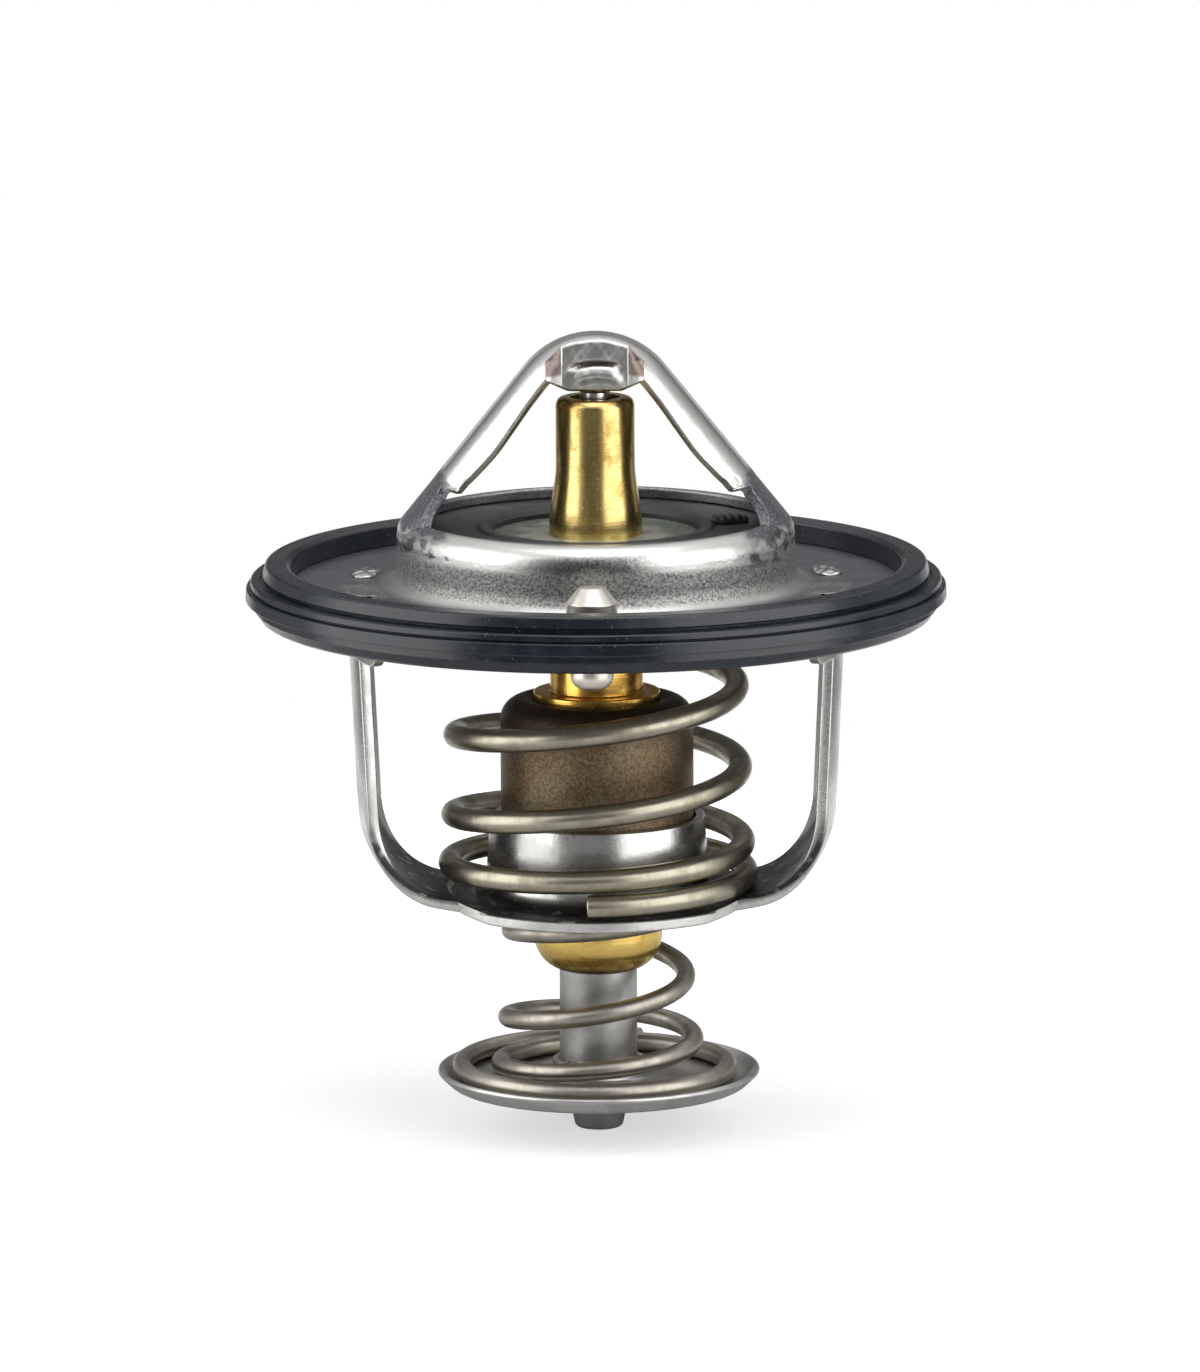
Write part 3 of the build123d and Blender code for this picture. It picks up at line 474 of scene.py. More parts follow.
def brassFinish(name, bright, dark, rough, lines, streaks, zones=()):
    # Turned brass: fine turning lines round the axis, and soft streaks along it where it was drawn
    finish = Finish(name, Metallic=1.0)
    r, z = finish.radius(), finish.z
    ringLines = finish.noise(1.0, 4, finish.join(z * 7.0, r * 7.0, 0.0))
    alongStreaks = finish.noise(1.0, 3, finish.wound(5.0, z * 0.12))
    patch = finish.noise(0.55, 4).rise(0.45, 0.75)
    pits = finish.noise(5.5, 2).rise(0.64, 0.76)
    shade = ringLines * lines + alongStreaks * streaks + patch * 0.35
    colour = finish.mix(shade.rise(0.25, 0.95), bright, dark)
    for low, high, soft, zoneColour in zones:
        colour = finish.mix(z.between(low, high, soft), colour, zoneColour)
    return finish.coat(
        finish.mix(pits * 0.4, colour, tuple(0.35 * c for c in dark)),
        rough + patch * 0.1 + ringLines * 0.06,
        ringLines * 0.02 * lines + alongStreaks * 0.006 + pits * 0.01,
    )


def wireFinish(name, light, dark, rough):
    # Drawn spring wire, dull and yellowish, with fine cross marks and darker blotches
    finish = Finish(name, Metallic=1.0)
    cross = finish.noise(1.0, 2, finish.wound(34.0, finish.z * 0.4))
    blotch = finish.noise(0.5, 4).rise(0.42, 0.7)
    fine = finish.noise(5.0, 2)
    return finish.coat(
        finish.mix(cross * 0.35 + blotch * 0.45 + fine * 0.2, light, dark),
        rough + cross * 0.1 + blotch * 0.1,
        cross * 0.014 + fine * 0.008,
    )


def cupFinish():
    # The cup's brown mottled skin, darker on its shoulder and towards its foot
    finish = Finish("cupBrown", Metallic=0.85)
    z = finish.z
    speckle = finish.noise(4.2, 5, rough=0.7)
    cloud = finish.noise(0.3, 3)
    green = finish.mix(speckle.rise(0.35, 0.65), (0.115, 0.088, 0.048), (0.27, 0.22, 0.135))
    brown = finish.mix(speckle.rise(0.35, 0.65), (0.095, 0.064, 0.036), (0.25, 0.175, 0.105))
    colour = finish.mix(cloud.rise(0.38, 0.62), green, brown)
    edge = z.rise(-13.4, -11.2) + (1 - z.rise(-27.5, -22.0)) * 0.25
    return finish.coat(
        finish.mix((edge * 0.8).atMost(1.0), colour, (0.035, 0.027, 0.022)),
        0.42 + speckle * 0.15,
        speckle * 0.03,
    )


def rubberFinish(name, colour, worn, dust, rough):
    # Moulded rubber: a bluish black with a worn bloom, faint flow marks round the ring and specks of dust
    finish = Finish(name, Metallic=0.0)
    finish.shader.inputs["Specular IOR Level"].default_value = 0.55
    flow = finish.noise(1.0, 4, finish.wound(9.0, finish.z * 1.6 + finish.radius() * 1.1))
    bloom = finish.noise(0.35, 4).rise(0.45, 0.75)
    speck = finish.noise(3.4, 2).rise(0.70, 0.75)
    base = finish.mix(bloom * 0.5 + flow * 0.3, colour, worn)
    return finish.coat(
        finish.mix(speck * 0.55, base, dust),
        rough + bloom * 0.1 + flow * 0.1 + speck * 0.2,
        flow * 0.03 + speck * 0.02 + finish.noise(6.0, 2) * 0.006,
    )


bridgeSteel = bridgeFinish()
frameSteel = frameFinish()
discSteel = steelFinish("discSteel", 0.58, 0.38, 0.24, grain=0.8)
stemSteel = steelFinish("stemSteel", 0.52, 0.36, 0.3, mottle=0.5)
pinSteel = steelFinish("pinSteel", 0.75, 0.6, 0.14, grain=0.3, mottle=0.15)
jiggleMetal = steelFinish("jiggleMetal", 0.72, 0.5, 0.22, grain=0.6, tint=(1.0, 0.96, 0.87))
wireSteel = wireFinish("wireSteel", (0.47, 0.435, 0.345), (0.25, 0.225, 0.165), 0.27)
bypassWire = wireFinish("bypassWire", (0.46, 0.43, 0.37), (0.27, 0.245, 0.205), 0.3)
# a zone is a range of heights, its softness and its colour
orangeFoot = (-13.0, 1.5, 2.0, (0.95, 0.57, 0.13))
darkEdge = (-36.0, -34.0, 0.5, (0.20, 0.11, 0.03))
guideBrass = brassFinish("guideBrass", (0.84, 0.64, 0.25), (0.42, 0.27, 0.07), 0.2, 0.35, 0.6, [orangeFoot])
noseBrass = brassFinish("noseBrass", (0.84, 0.60, 0.18), (0.45, 0.28, 0.06), 0.22, 0.5, 0.3, [darkEdge])
cupBrown = cupFinish()
gasketRubber = rubberFinish(
    "gasketRubber", (0.0035, 0.006, 0.010), (0.014, 0.021, 0.032), (0.22, 0.25, 0.28), 0.2,
)
sealRubber = rubberFinish("sealRubber", (0.014, 0.015, 0.018), (0.085, 0.09, 0.10), (0.2, 0.2, 0.2), 0.36)
innerRubber = rubberFinish("innerRubber", (0.02, 0.02, 0.02), (0.04, 0.04, 0.04), (0.2, 0.2, 0.2), 0.6)


def valveFinish():
    # The disc's top shows a pale greenish scale inside the seal
    finish = Finish("valveSteel", Metallic=0.6)
    inside = 1 - finish.radius().rise(10.4, 11.2)
    fleck = finish.noise(1.8, 4)
    worn = (finish.noise(0.35, 3) + (1 - finish.radius().rise(5.0, 8.5)) * 0.25).rise(0.5, 0.75)
    scale = finish.mix(fleck.rise(0.4, 0.62), (0.16, 0.19, 0.15), (0.27, 0.31, 0.24))
    scale = finish.mix(worn, scale, (0.48, 0.49, 0.42))
    steel = finish.mix(fleck, (0.55, 0.54, 0.52), (0.35, 0.34, 0.33))
    top = finish.z.rise(4.5, 4.8)
    return finish.coat(
        finish.mix(inside * top, steel, scale),
        0.3 + fleck * 0.25,
        fleck * 0.03,
    )


def waxFinish():
    finish = Finish("waxFill", Metallic=0.0)
    grain = finish.noise(1.2, 4)
    return finish.coat(
        finish.mix(grain, (0.5, 0.33, 0.19), (0.62, 0.44, 0.27)),
        0.45 + grain * 0.2,
        grain * 0.05,
    )


valveSteel = valveFinish()
waxFill = waxFinish()
print("finishes made")


# Upper stamping: flange and collar turned round the axis, and the bridge as a bent strip

stamping = {
    "sheet": 1.0, "flangeRadius": 28.0, "collarRadius": 17.6, "collarTop": 6.5, "lipRadius": 15.6,
    "baseBend": 1.8, "shoulderBend": 1.8, "edge": 0.1, "lipDip": 1.25, "lipFade": (15.0, 21.0),
}
bridge = {
    "top": 22.78, "crownRadius": 8.0, "flat": 0.9, "round": 3.9, "sweep": radians(70.0),
    "footRise": 1.03, "footSink": 0.05, "footBend": 1.5, "footLevel": 4.95, "hookLevel": 10.35, "edge": 0.18,
    "columns": 60, "crownStep": 0.085, "legStep": 0.22, "sink": 0.9, "sinkY": (3.6, 7.2), "sinkZ": (5.9, 8.2),
    # depth of the curled sides, and half-width of the leg below them, both by the level of the path
    "depth": [(4.0, 1.9), (10.5, 1.9), (12.2, 2.15), (14.2, 2.35), (16.5, 2.15), (18.5, 1.95), (23.0, 1.85)],
    "flank": [
        (4.0, 8.4), (5.6, 8.2), (6.4, 7.4), (7.0, 6.4), (7.6, 5.7), (8.4, 5.2), (9.3, 4.85), (10.2, 4.66),
        (10.8, 4.6), (23.0, 4.6),
    ],
}
# The socket is pressed in the crown: flat faces front and back, with a slanted cheek on each side. lip is
# the lower edge's level by distance from the middle, and each cheek's border runs from cheekTop to cheekLow.
socket = {
    "face": 2.9, "depth": 2.5, "soft": 0.22, "fan": 5.56, "lipEnd": 4.28,
    "cheekTop": (2.98, 21.95), "cheekLow": (4.31, 20.75),
    "lip": [(0.0, 18.12), (2.2, 18.12), (2.8, 18.3), (3.2, 18.55), (3.6, 18.8), (4.0, 19.08), (4.28, 19.2)],
    "halfX": 2.75, "halfY": 2.15, "bottom": 18.3, "top": 21.5, "round": 0.25, "hole": 1.16,
}


def flangeGrid():
    s = stamping
    t = s["sheet"]
    corners = [
        (s["flangeRadius"], t / 2, s["edge"]),
        (s["collarRadius"], t / 2, s["baseBend"]),
        (s["collarRadius"], s["collarTop"], s["shoulderBend"]),
        (s["lipRadius"], s["collarTop"], 0.3),
        (s["lipRadius"], s["collarTop"] - t, 0.15),
        (s["collarRadius"] - t, s["collarTop"] - t, s["shoulderBend"] - t),
        (s["collarRadius"] - t, -t / 2, s["baseBend"] + t),
        (s["flangeRadius"], -t / 2, s["edge"]),
    ]
    points, groups = lathe(corners, around=360, steps=12)
    # the lip dies into the legs, where the sheet carries on upwards
    r = np.hypot(points[:, 0], points[:, 1])
    away = np.degrees(np.arcsin(np.clip(np.abs(points[:, 1]) / r, 0, 1)))
    least = s["lipRadius"] + s["lipDip"] * (1 - smooth(*s["lipFade"], away))
    pushed = np.where((points[:, 2] > 4.4) & (r < least), least / r, 1.0)
    points[:, :2] *= pushed[:, None]
    return points, groups


def bridgePath():
    # Half of it runs from the crown down a leg to the collar's shoulder. The leg is tangent to the crown, so
    # with d from the crown's centre to the foot: lean = arccos(crown / d) - arctan(drop / foot).
    b, s = bridge, stamping
    foot = s["collarRadius"] - b["footSink"]
    cornerZ = s["collarTop"] - s["shoulderBend"] + b["footRise"]
    crownZ = b["top"] - b["crownRadius"]
    drop = crownZ - cornerZ
    lean = np.arccos(b["crownRadius"] / np.hypot(foot, drop)) - np.arctan2(drop, foot)
    fanAngle = np.arccos(socket["fan"] / b["crownRadius"])

    def arc(angles):
        return np.stack([np.cos(angles), np.sin(angles)], axis=1) * b["crownRadius"] + [0, crownZ]

    steps = int(b["crownRadius"] * (pi / 2 - fanAngle) / b["crownStep"])
    crown, rest = arc(np.linspace(pi / 2, fanAngle, steps)), arc(np.linspace(fanAngle, lean, 8)[1:])
    leg = rounded([(*rest[-1], 0), (foot, cornerZ, b["footBend"]), (foot, b["footLevel"], 0)], steps=10)
    leg = np.concatenate([crown[-1:], rest, leg[1:]])
    length = np.sum(np.linalg.norm(np.diff(leg, axis=0), axis=1))
    half = np.concatenate([crown, resample(leg, int(length / b["legStep"]))[1:]])
    return np.concatenate([half[::-1], half[1:] * [-1, 1]])


def bridgeGrid():
    # A strap whose sides curl down, flat in the middle and round outside it. The curls end in torn hooks, and
    # below them the sheet is part of a cone that widens into the shoulder.
    b, k = bridge, socket
    path = bridgePath()
    along, normal = pathSides(path)
    x, z = np.abs(path[:, 0]), path[:, 1]
    depth = throughKnots(b["depth"], z)
    # over the socket each row ends on the lip; the rows are upright there and fan out beside it
    fan = x < k["fan"]
    share = np.clip((x - k["face"]) / (k["fan"] - k["face"]), 0, 1)
    endX = np.where(x < k["face"], x, k["face"] + (k["lipEnd"] - k["face"]) * share)
    reach = np.stack([x - endX, z - throughKnots(k["lip"], endX)], axis=1)
    reachLength = np.linalg.norm(reach, axis=1)
    depth = np.where(fan, reachLength, depth)
    mirror = np.stack([np.sign(path[:, 0]), np.ones(len(z))], axis=1)
    normal[fan] = (reach / reachLength[:, None] * mirror)[fan]
    rolled = smooth(b["hookLevel"] - 0.22, b["hookLevel"] + 0.22, z)
    curl = b["round"] * (1 - cos(b["sweep"]))
    turned = b["round"] * np.arccos(np.clip(1 - depth / b["round"], cos(b["sweep"]), 1))
    fullHalf = b["flat"] + turned + np.maximum(depth - curl, 0) / sin(b["sweep"])
    halfWidth = fullHalf * rolled + throughKnots(b["flank"], z) * (1 - rolled)
    below = 1 - smooth(b["hookLevel"] - 0.7, b["hookLevel"] + 0.5, z)
    curve = np.abs(along[:, 1]) / np.maximum(x, 1.0) * below
    none = np.zeros(len(z))
    points, groups = stripGrid(
        path, normal, halfWidth, b["sweep"] * rolled, none + b["flat"], none + b["round"] * b["sweep"], curve,
        stamping["sheet"], b["edge"], b["columns"],
    )
    points = points.reshape(len(path), -1, 3)
    pressSocket(points, b["columns"])
    points = points.reshape(-1, 3)
    tearHooks(points)
    # the flanks of the roots sink into the shoulder, more the wider and the lower they are
    x, y, z = points.T
    sink = b["sink"] * smooth(*b["sinkY"], np.abs(y)) * (1 - smooth(*b["sinkZ"], z))
    points[:, :2] *= (1 - sink / np.maximum(np.hypot(x, y), 1))[:, None]
    return points, groups


def pressSocket(points, columns):
    # Both sides of the sheet move in by the outer side's y less the face's, softened where they meet:
    # moved = soft * log(1 + exp((y - face) / soft)). On the cheeks it fades to nothing at their outer border.
    k = socket
    outer = points[:, :columns]
    x, y, z = np.abs(outer[..., 0]), outer[..., 1], outer[..., 2]
    moved = k["soft"] * np.logaddexp(0, (y - socketFace(outer[..., 0], z)) / k["soft"])
    (topX, topZ), (lowX, lowZ) = k["cheekTop"], k["cheekLow"]
    border = topX + (lowX - topX) * np.clip((topZ - z) / (topZ - lowZ), 0, 1)
    moved = moved * np.clip((border - x) / (border - k["face"]), 0, 1)
    right = beside(moved, np.repeat(moved[:, -1:], 6, axis=1), moved[:, ::-1])
    points[..., 1] -= beside(right, -right[:, -2:0:-1])


def socketFace(x, z):
    # The pressed face's distance from the middle: its depth, a ledge that droops to the sides with a shaded
    # hollow above it, a round belly below, and low hammer waves.
    ledge = 20.12 - 0.09 * x * x + 0.05 * x
    hollow = -0.42 * np.exp(-((z - ledge - 0.26) / 0.22) ** 2) * np.exp(-(x / 2.0) ** 6)
    belly = 0.30 * np.exp(-((z - ledge + 0.75) / 0.6) ** 2) * np.exp(-((x - 0.2) / 1.9) ** 4)
    waves = 0.04 * np.sin(2.1 * x + 0.6) * np.sin(1.9 * z) + 0.012 * np.sin(4.7 * x + 2.6 * z)
    waves += 0.005 * np.sin(8.3 * x - 6.1 * z)
    return socket["depth"] + hollow + belly + waves


def tearHooks(points):
    # the curls' ends are torn, not cut: uneven by about a tenth of a millimetre
    x, y, z = points.T
    near = np.exp(-((z - 9.7) / 0.8) ** 2) * smooth(3.0, 3.9, np.abs(y))
    near *= smooth(10.8, 11.4, np.abs(x)) * (1 - smooth(13.4, 13.9, np.abs(x)))
    points[:, 1] += 0.06 * near * np.sin(x * 8.0) * np.sin(z * 10.0 + y * 3.0)
    points[:, 2] += 0.10 * near * np.sin(x * 6.0 + y * 4.0)


def socketGrid():
    # The block between the pinched walls. Rows run from inside the hole, over its mouth and bottom, and up.
    # Each row is a round that squares off as it widens: radius over (|cos|^n + |sin|^n)^(1/n).
    k = socket
    columns = 96
    ease = np.linspace(0, pi / 2, 5)
    bottom, top, hole = k["bottom"], k["top"], k["hole"]
    mouth = [bottom + 1.2, bottom + 0.15, bottom + 0.03, bottom]
    z = np.concatenate([mouth, bottom + k["round"] * (1 - np.cos(ease)), [top]])
    inset = np.concatenate([np.zeros(4), k["round"] * (1 - np.sin(ease)), [0]])
    halfX, halfY = k["halfX"] - inset, k["halfY"] - inset
    halfX[:4] = halfY[:4] = [hole, hole, hole + 0.03, hole + 0.15]
    power = np.array([2.0] * 4 + [5.0] * 6)[:, None]
    angles = evenAngles(columns)
    c, s = np.cos(angles)[None], np.sin(angles)[None]
    size = (np.abs(c) ** power + np.abs(s) ** power) ** (-1 / power)
    x, y = halfX[:, None] * size * c, halfY[:, None] * size * s
    return meshPoints(x, y, z[:, None]), endedFaces(len(z), columns, flip=True)


makePiece("upperFlange", [flangeGrid()], "frame", bridgeSteel, ["flange_bridge"])
strapGrids = [bridgeGrid(), socketGrid()]
makePiece("bridgeStrap", strapGrids, "frame", bridgeSteel, ["flange_bridge"])


# Gasket

gasket = {"inner": 27.0, "rim": 31.0, "half": 2.5, "around": 360}


def gasketGrid():
    g = gasket
    rim, inner, h = g["rim"], g["inner"], g["half"]
    corners = [
        (inner + 0.9, -0.5, 0.05), (inner + 0.9, 0.5, 0.05), (inner, 0.52, 0.08),
        (inner, h - 0.25, 0.2), (inner + 0.45, h, 0.25),
        # upper lip and its sloping flank, a groove, and the first ridge
        (rim - 1.78, h - 0.04, 0.3), (rim - 1.5, 1.42, 0.07), (rim - 1.62, 1.36, 0.04),
        (rim - 1.64, 0.92, 0.04), (rim - 1.3, 0.88, 0.05), (rim - 1.24, 1.07, 0.08),
        (rim - 0.46, 1.06, 0.18), (rim - 0.42, 0.5, 0.08),
        # the widest ridge, sharp below, and the lower lip behind its undercut
        (rim - 0.8, 0.37, 0.04), (rim - 0.05, 0.33, 0.12), (rim, -0.68, 0.05), (rim - 0.75, -0.76, 0.08),
        (rim - 0.76, -1.52, 0.08), (rim - 0.98, -1.62, 0.12), (rim - 1.3, -2.25, 0.2), (rim - 1.7, -h, 0.2),
        (inner + 0.5, -h, 0.2), (inner, -h + 0.25, 0.2), (inner, -0.52, 0.08),
    ]
    return lathe(corners, around=g["around"], steps=5)


makePiece("gasketRing", [gasketGrid()], "frame", gasketRubber, ["gasket"], 50)


# Lower frame: ring with a drawn collar, and two straps that bend up into the legs

lowerFrame = {
    "sheet": 1.0, "ring": 14.0, "top": -27.4, "fold": 9.6, "rise": radians(10.0), "strapHalf": 6.7,
    "legOuter": 21.9, "lean": radians(2.7), "bend": 8.6, "headBottom": -5.4, "headHalf": 10.1,
    "tabNear": 3.35, "tabFar": 8.0, "tabTop": 0.5, "edge": 0.14,
    # hammered heads: across, outwards, heights at the back and at the front, and the middle's radius and y
    "peened": (4.6, 2.4, 0.38, 0.1, 20.9, 4.6), "peenedFoot": 0.47, "blows": 0.16,
}


def ringGrid():
    f = lowerFrame
    top, bottom = f["top"], f["top"] - f["sheet"]
    corners = [
        (8.75, -20.4, 0.12), (9.5, -20.4, 0.12), (10.05, top, 1.5), (f["ring"], top, f["edge"]),
        (f["ring"], bottom, f["edge"]), (9.02, bottom, 2.3),
    ]
    points, groups = lathe(corners, around=288, steps=9)
    # outside its collar the ring is folded up to both sides
    outside = smooth(10.6, 11.6, np.hypot(points[:, 0], points[:, 1]))
    points[:, 2] += np.maximum(np.abs(points[:, 0]) - f["fold"], 0) * tan(f["rise"]) * outside
    return points, groups


def strapGrid(side):
    # Rows run from the ring's edge along the arm, round the bend and up the leg. At the ring each row is part
    # of the ring's circle and it straightens along the arm; across the leg the sheet curves with the flange.
    f = lowerFrame
    bottom = f["top"] - f["sheet"]
    footX = f["legOuter"] - (f["headBottom"] - bottom) * tan(f["lean"])
    both = tan(f["rise"]) * tan(f["lean"])
    cornerX = (footX - f["fold"] * both) / (1 - both)
    cornerZ = bottom + (cornerX - f["fold"]) * tan(f["rise"])
    startX = sqrt(f["ring"] ** 2 - f["strapHalf"] ** 2) - 0.4
    startZ = bottom + (startX - f["fold"]) * tan(f["rise"])
    head = (f["legOuter"], f["headBottom"] + 0.6, 0)
    outline = rounded([(startX, startZ, 0), (cornerX, cornerZ, f["bend"]), head], steps=40)
    path = resample(outline, 150)
    along, normal = pathSides(path)
    slope = np.arctan2(along[:, 1], along[:, 0])
    rolled = np.clip((slope - f["rise"]) / (pi / 2 - f["lean"] - f["rise"]), 0, 1)
    curve = np.sin(pi / 2 * rolled) ** 2 / f["legOuter"]
    halfWidth = np.full(len(path), f["strapHalf"])
    none = np.zeros(len(path))
    points, groups = stripGrid(
        path, normal, halfWidth, none, none, none + 1, curve, f["sheet"], f["edge"], 25,
    )
    # the first rows bulge out to the ring's circle
    y = np.clip(points[:, 1], -f["strapHalf"], f["strapHalf"])
    bulge = np.sqrt(f["ring"] ** 2 - y ** 2) - (startX + 0.4)
    near = 1 - smooth(startX, cornerX - 5.0, points[:, 0])
    near = np.where(points[:, 2] < cornerZ + 1.6, near, 0)
    points[:, 0] += bulge * near * cos(f["rise"])
    points[:, 2] += bulge * near * sin(f["rise"])
    if side < 0:
        points = points * [-1, -1, 1]
    return points, groups


def domeGrid(across, out, height, blows, seed):
    # A low cushion on an oval foot, flattened by hammer blows. With s the share of the way out to the rim,
    # its height is (1 - s^4)^0.5, and the rim's foot is drawn in a little, so that it stands off the sheet.
    s = np.concatenate([[0.93, 0.985, 1.0], np.sin(np.linspace(pi / 2, 0, 15)[1:-1]) ** 0.8, [0.03]])[:, None]
    rise = np.concatenate([[0.0, 0.1, 0.3], 0.3 + 0.7 * (1 - s[3:, 0] ** 4) ** 0.5])[:, None]
    columns = 72
    a = evenAngles(columns)[None]
    oval = (np.abs(np.cos(a)) ** 2.6 + np.abs(np.sin(a)) ** 2.6) ** (-1 / 2.6)
    ragged = 1 + 0.045 * np.sin(3 * a + seed) + 0.03 * np.sin(5 * a - 2 * seed)
    ragged += 0.015 * np.sin(11 * a + 3 * seed)
    u, v = s * oval * ragged * np.cos(a) * across / 2, s * oval * ragged * np.sin(a) * out / 2
    dents = np.sin(u * 2.9 + seed) * np.sin(v * 3.7 - seed) + 0.6 * np.sin(u * 5.3 - v * 4.1 + 2 * seed)
    z = height * rise * (1 + blows * dents)
    return meshPoints(u, v, z), endedFaces(len(s), columns, flip=True)


def headsGrid():
    # the four hammered heads on the flange, each turned along its arc
    f = lowerFrame
    across, out, back, front, circle, middle = f["peened"]
    heads = []
    for k, (sideX, sideY) in enumerate([(1, 1), (-1, 1), (-1, -1), (1, -1)]):
        head, groups = domeGrid(across, out, back if sideY > 0 else front, f["blows"], 1.3 + 1.9 * k)
        a = np.arctan2(sideY * middle, sideX * sqrt(circle ** 2 - middle ** 2))
        u, v, z = head.T
        x, y = circle * cos(a) - u * sin(a) + v * cos(a), circle * sin(a) + u * cos(a) + v * sin(a)
        heads.append((np.stack([x, y, z + f["peenedFoot"]], axis=1), [group[:, ::-1] for group in groups]))
    return joinGrids(heads)


def headGrid(side, low, high, bottom, top, roundBottom):
    # A lug or tab on the flange's circle: a rectangle of sheet carried round the arc from low to high
    f = lowerFrame
    outer, inner = f["legOuter"], f["legOuter"] - f["sheet"]
    across = np.linspace(low, high, 61)
    ease = np.clip((np.maximum(low + roundBottom - across, across - high + roundBottom)) / roundBottom, 0, 1)
    foot = bottom + roundBottom * (1 - np.sqrt(np.maximum(1 - ease ** 2, 0.0)))
    e = 0.12
    corners = [(inner, 0, e), (outer, 0, e), (outer, 1, e), (inner, 1, e)]
    height = top - bottom
    section = rounded([(a, b * height, c) for a, b, c in corners], closed=True, steps=3)
    share = section[:, 1] / height
    angle = np.arcsin(across / outer)[:, None]
    z = foot[:, None] + (top - foot[:, None]) * share[None]
    r = section[None, :, 0]
    points = meshPoints(r * np.cos(angle), r * np.sin(angle), z)
    if side < 0:
        points = points * [-1, -1, 1]
    return points, endedFaces(len(across), len(section))


def lowerFrameGrids():
    f = lowerFrame
    grids = [ringGrid(), headsGrid()]
    for side in (1, -1):
        grids.append(strapGrid(side))
        grids.append(headGrid(side, -f["headHalf"], f["headHalf"], f["headBottom"], -0.5, 1.0))
        for low, high in ((f["tabNear"], f["tabFar"]), (-f["tabFar"], -f["tabNear"])):
            grids.append(headGrid(side, low, high, -0.7, f["tabTop"], 0.05))
    return grids


makePiece("lowerFrame", lowerFrameGrids(), "frame", frameSteel, ["lower_frame"])


# Piston and guide. Outlines are (radius, height, bend) corners.

piston = {
    "outline": [
        (0.9, -3.0, 0), (1.375, -3.0, 0.1), (1.375, 17.6, 0.12), (1.075, 17.75, 0.05), (1.075, 20.4, 0.1),
        (0.6, 20.5, 0),
    ],
}
guide = {
    "top": 17.1, "slim": 3.5, "foot": 4.12, "flareTop": 11.3, "flareBottom": 5.4, "round": 0.75, "mouth": 2.2,
}


def guideGrid():
    # the flare is smooth(t) = t^2 (3 - 2 t) from the slim neck to the foot
    g = guide
    share = np.linspace(0, 1, 12)[1:-1]
    flareR = g["slim"] + (g["foot"] - g["slim"]) * smooth(0, 1, share)
    flareZ = g["flareTop"] + (g["flareBottom"] - g["flareTop"]) * share
    flare = [(r, z, 0) for r, z in zip(flareR, flareZ)]
    corners = [
        (g["mouth"], g["top"], 0.06), (g["slim"], g["top"], g["round"]), (g["slim"], g["flareTop"], 0),
        *flare,
        (g["foot"], g["flareBottom"], 0), (g["foot"], -9.2, 0.12), (5.6, -9.2, 0.15), (5.6, -10.3, 0.05),
        (7.3, -10.3, 0.05), (7.3, -12.2, 0.05), (4.6, -12.2, 0.05), (1.425, -8.4, 0.05), (1.425, 15.7, 0.05),
        (2.6, 15.7, 0.05), (2.6, 16.7, 0.05), (g["mouth"], 16.7, 0.05),
    ]
    return lathe(corners, around=144, steps=8)


pistonGrid = lathe(piston["outline"], closed=False, around=64, cap=True)
makePiece("pistonPin", [pistonGrid], "frame", pinSteel, ["piston"], 32)
makePiece("guideSleeve", [guideGrid()], "element", guideBrass, ["guide"])


# Main valve: disc, and a rubber coat over its rim with a rounded bead at the inner edge

valve = {
    "disc": [
        (4.12, 1.9, 0.1), (4.12, 4.9, 0.05), (16.1, 4.9, 1.2), (16.1, 2.9, 0.1), (15.3, 2.9, 0.1),
        (15.3, 4.1, 0.4), (4.92, 4.1, 0.4), (4.92, 1.9, 0.1),
    ],
    "coat": [
        (9.1, 4.85, 0.05), (9.15, 5.3, 0.12), (9.55, 5.68, 0.3), (10.25, 5.68, 0.3), (10.6, 5.42, 0.2),
        (16.35, 5.45, 0.7), (16.35, 3.4, 0.08), (16.1, 3.4, 0.02), (16.1, 4.9, 1.2),
    ],
    # a short knurled bar on the coat: along, outwards, height, distance from the axis, angle, level
    "nub": (3.6, 1.5, 0.72, 11.9, radians(9.0), 5.4),
}


def nubGrid():
    # a cushion with ridges across it
    along, out, height, place, angle, level = valve["nub"]
    points, groups = domeGrid(along, out, height, 0.05, 0.7)
    u, v, z = points.T
    z = z * (1 + 0.16 * np.sin(u * 9.0) * smooth(0.1, 0.4, z / height)) + level
    u = u + place
    return np.stack([u * cos(angle) - v * sin(angle), u * sin(angle) + v * cos(angle), z], axis=1), groups


discGrid, coatGrid = (lathe(valve[key], around=240, steps=7) for key in ("disc", "coat"))
makePiece("valveDisc", [discGrid], "element", valveSteel, ["valve_disc"])
makePiece("valveCoat", [coatGrid, nubGrid()], "element", sealRubber, ["valve_seal"])


# Wax cup, nose, stem

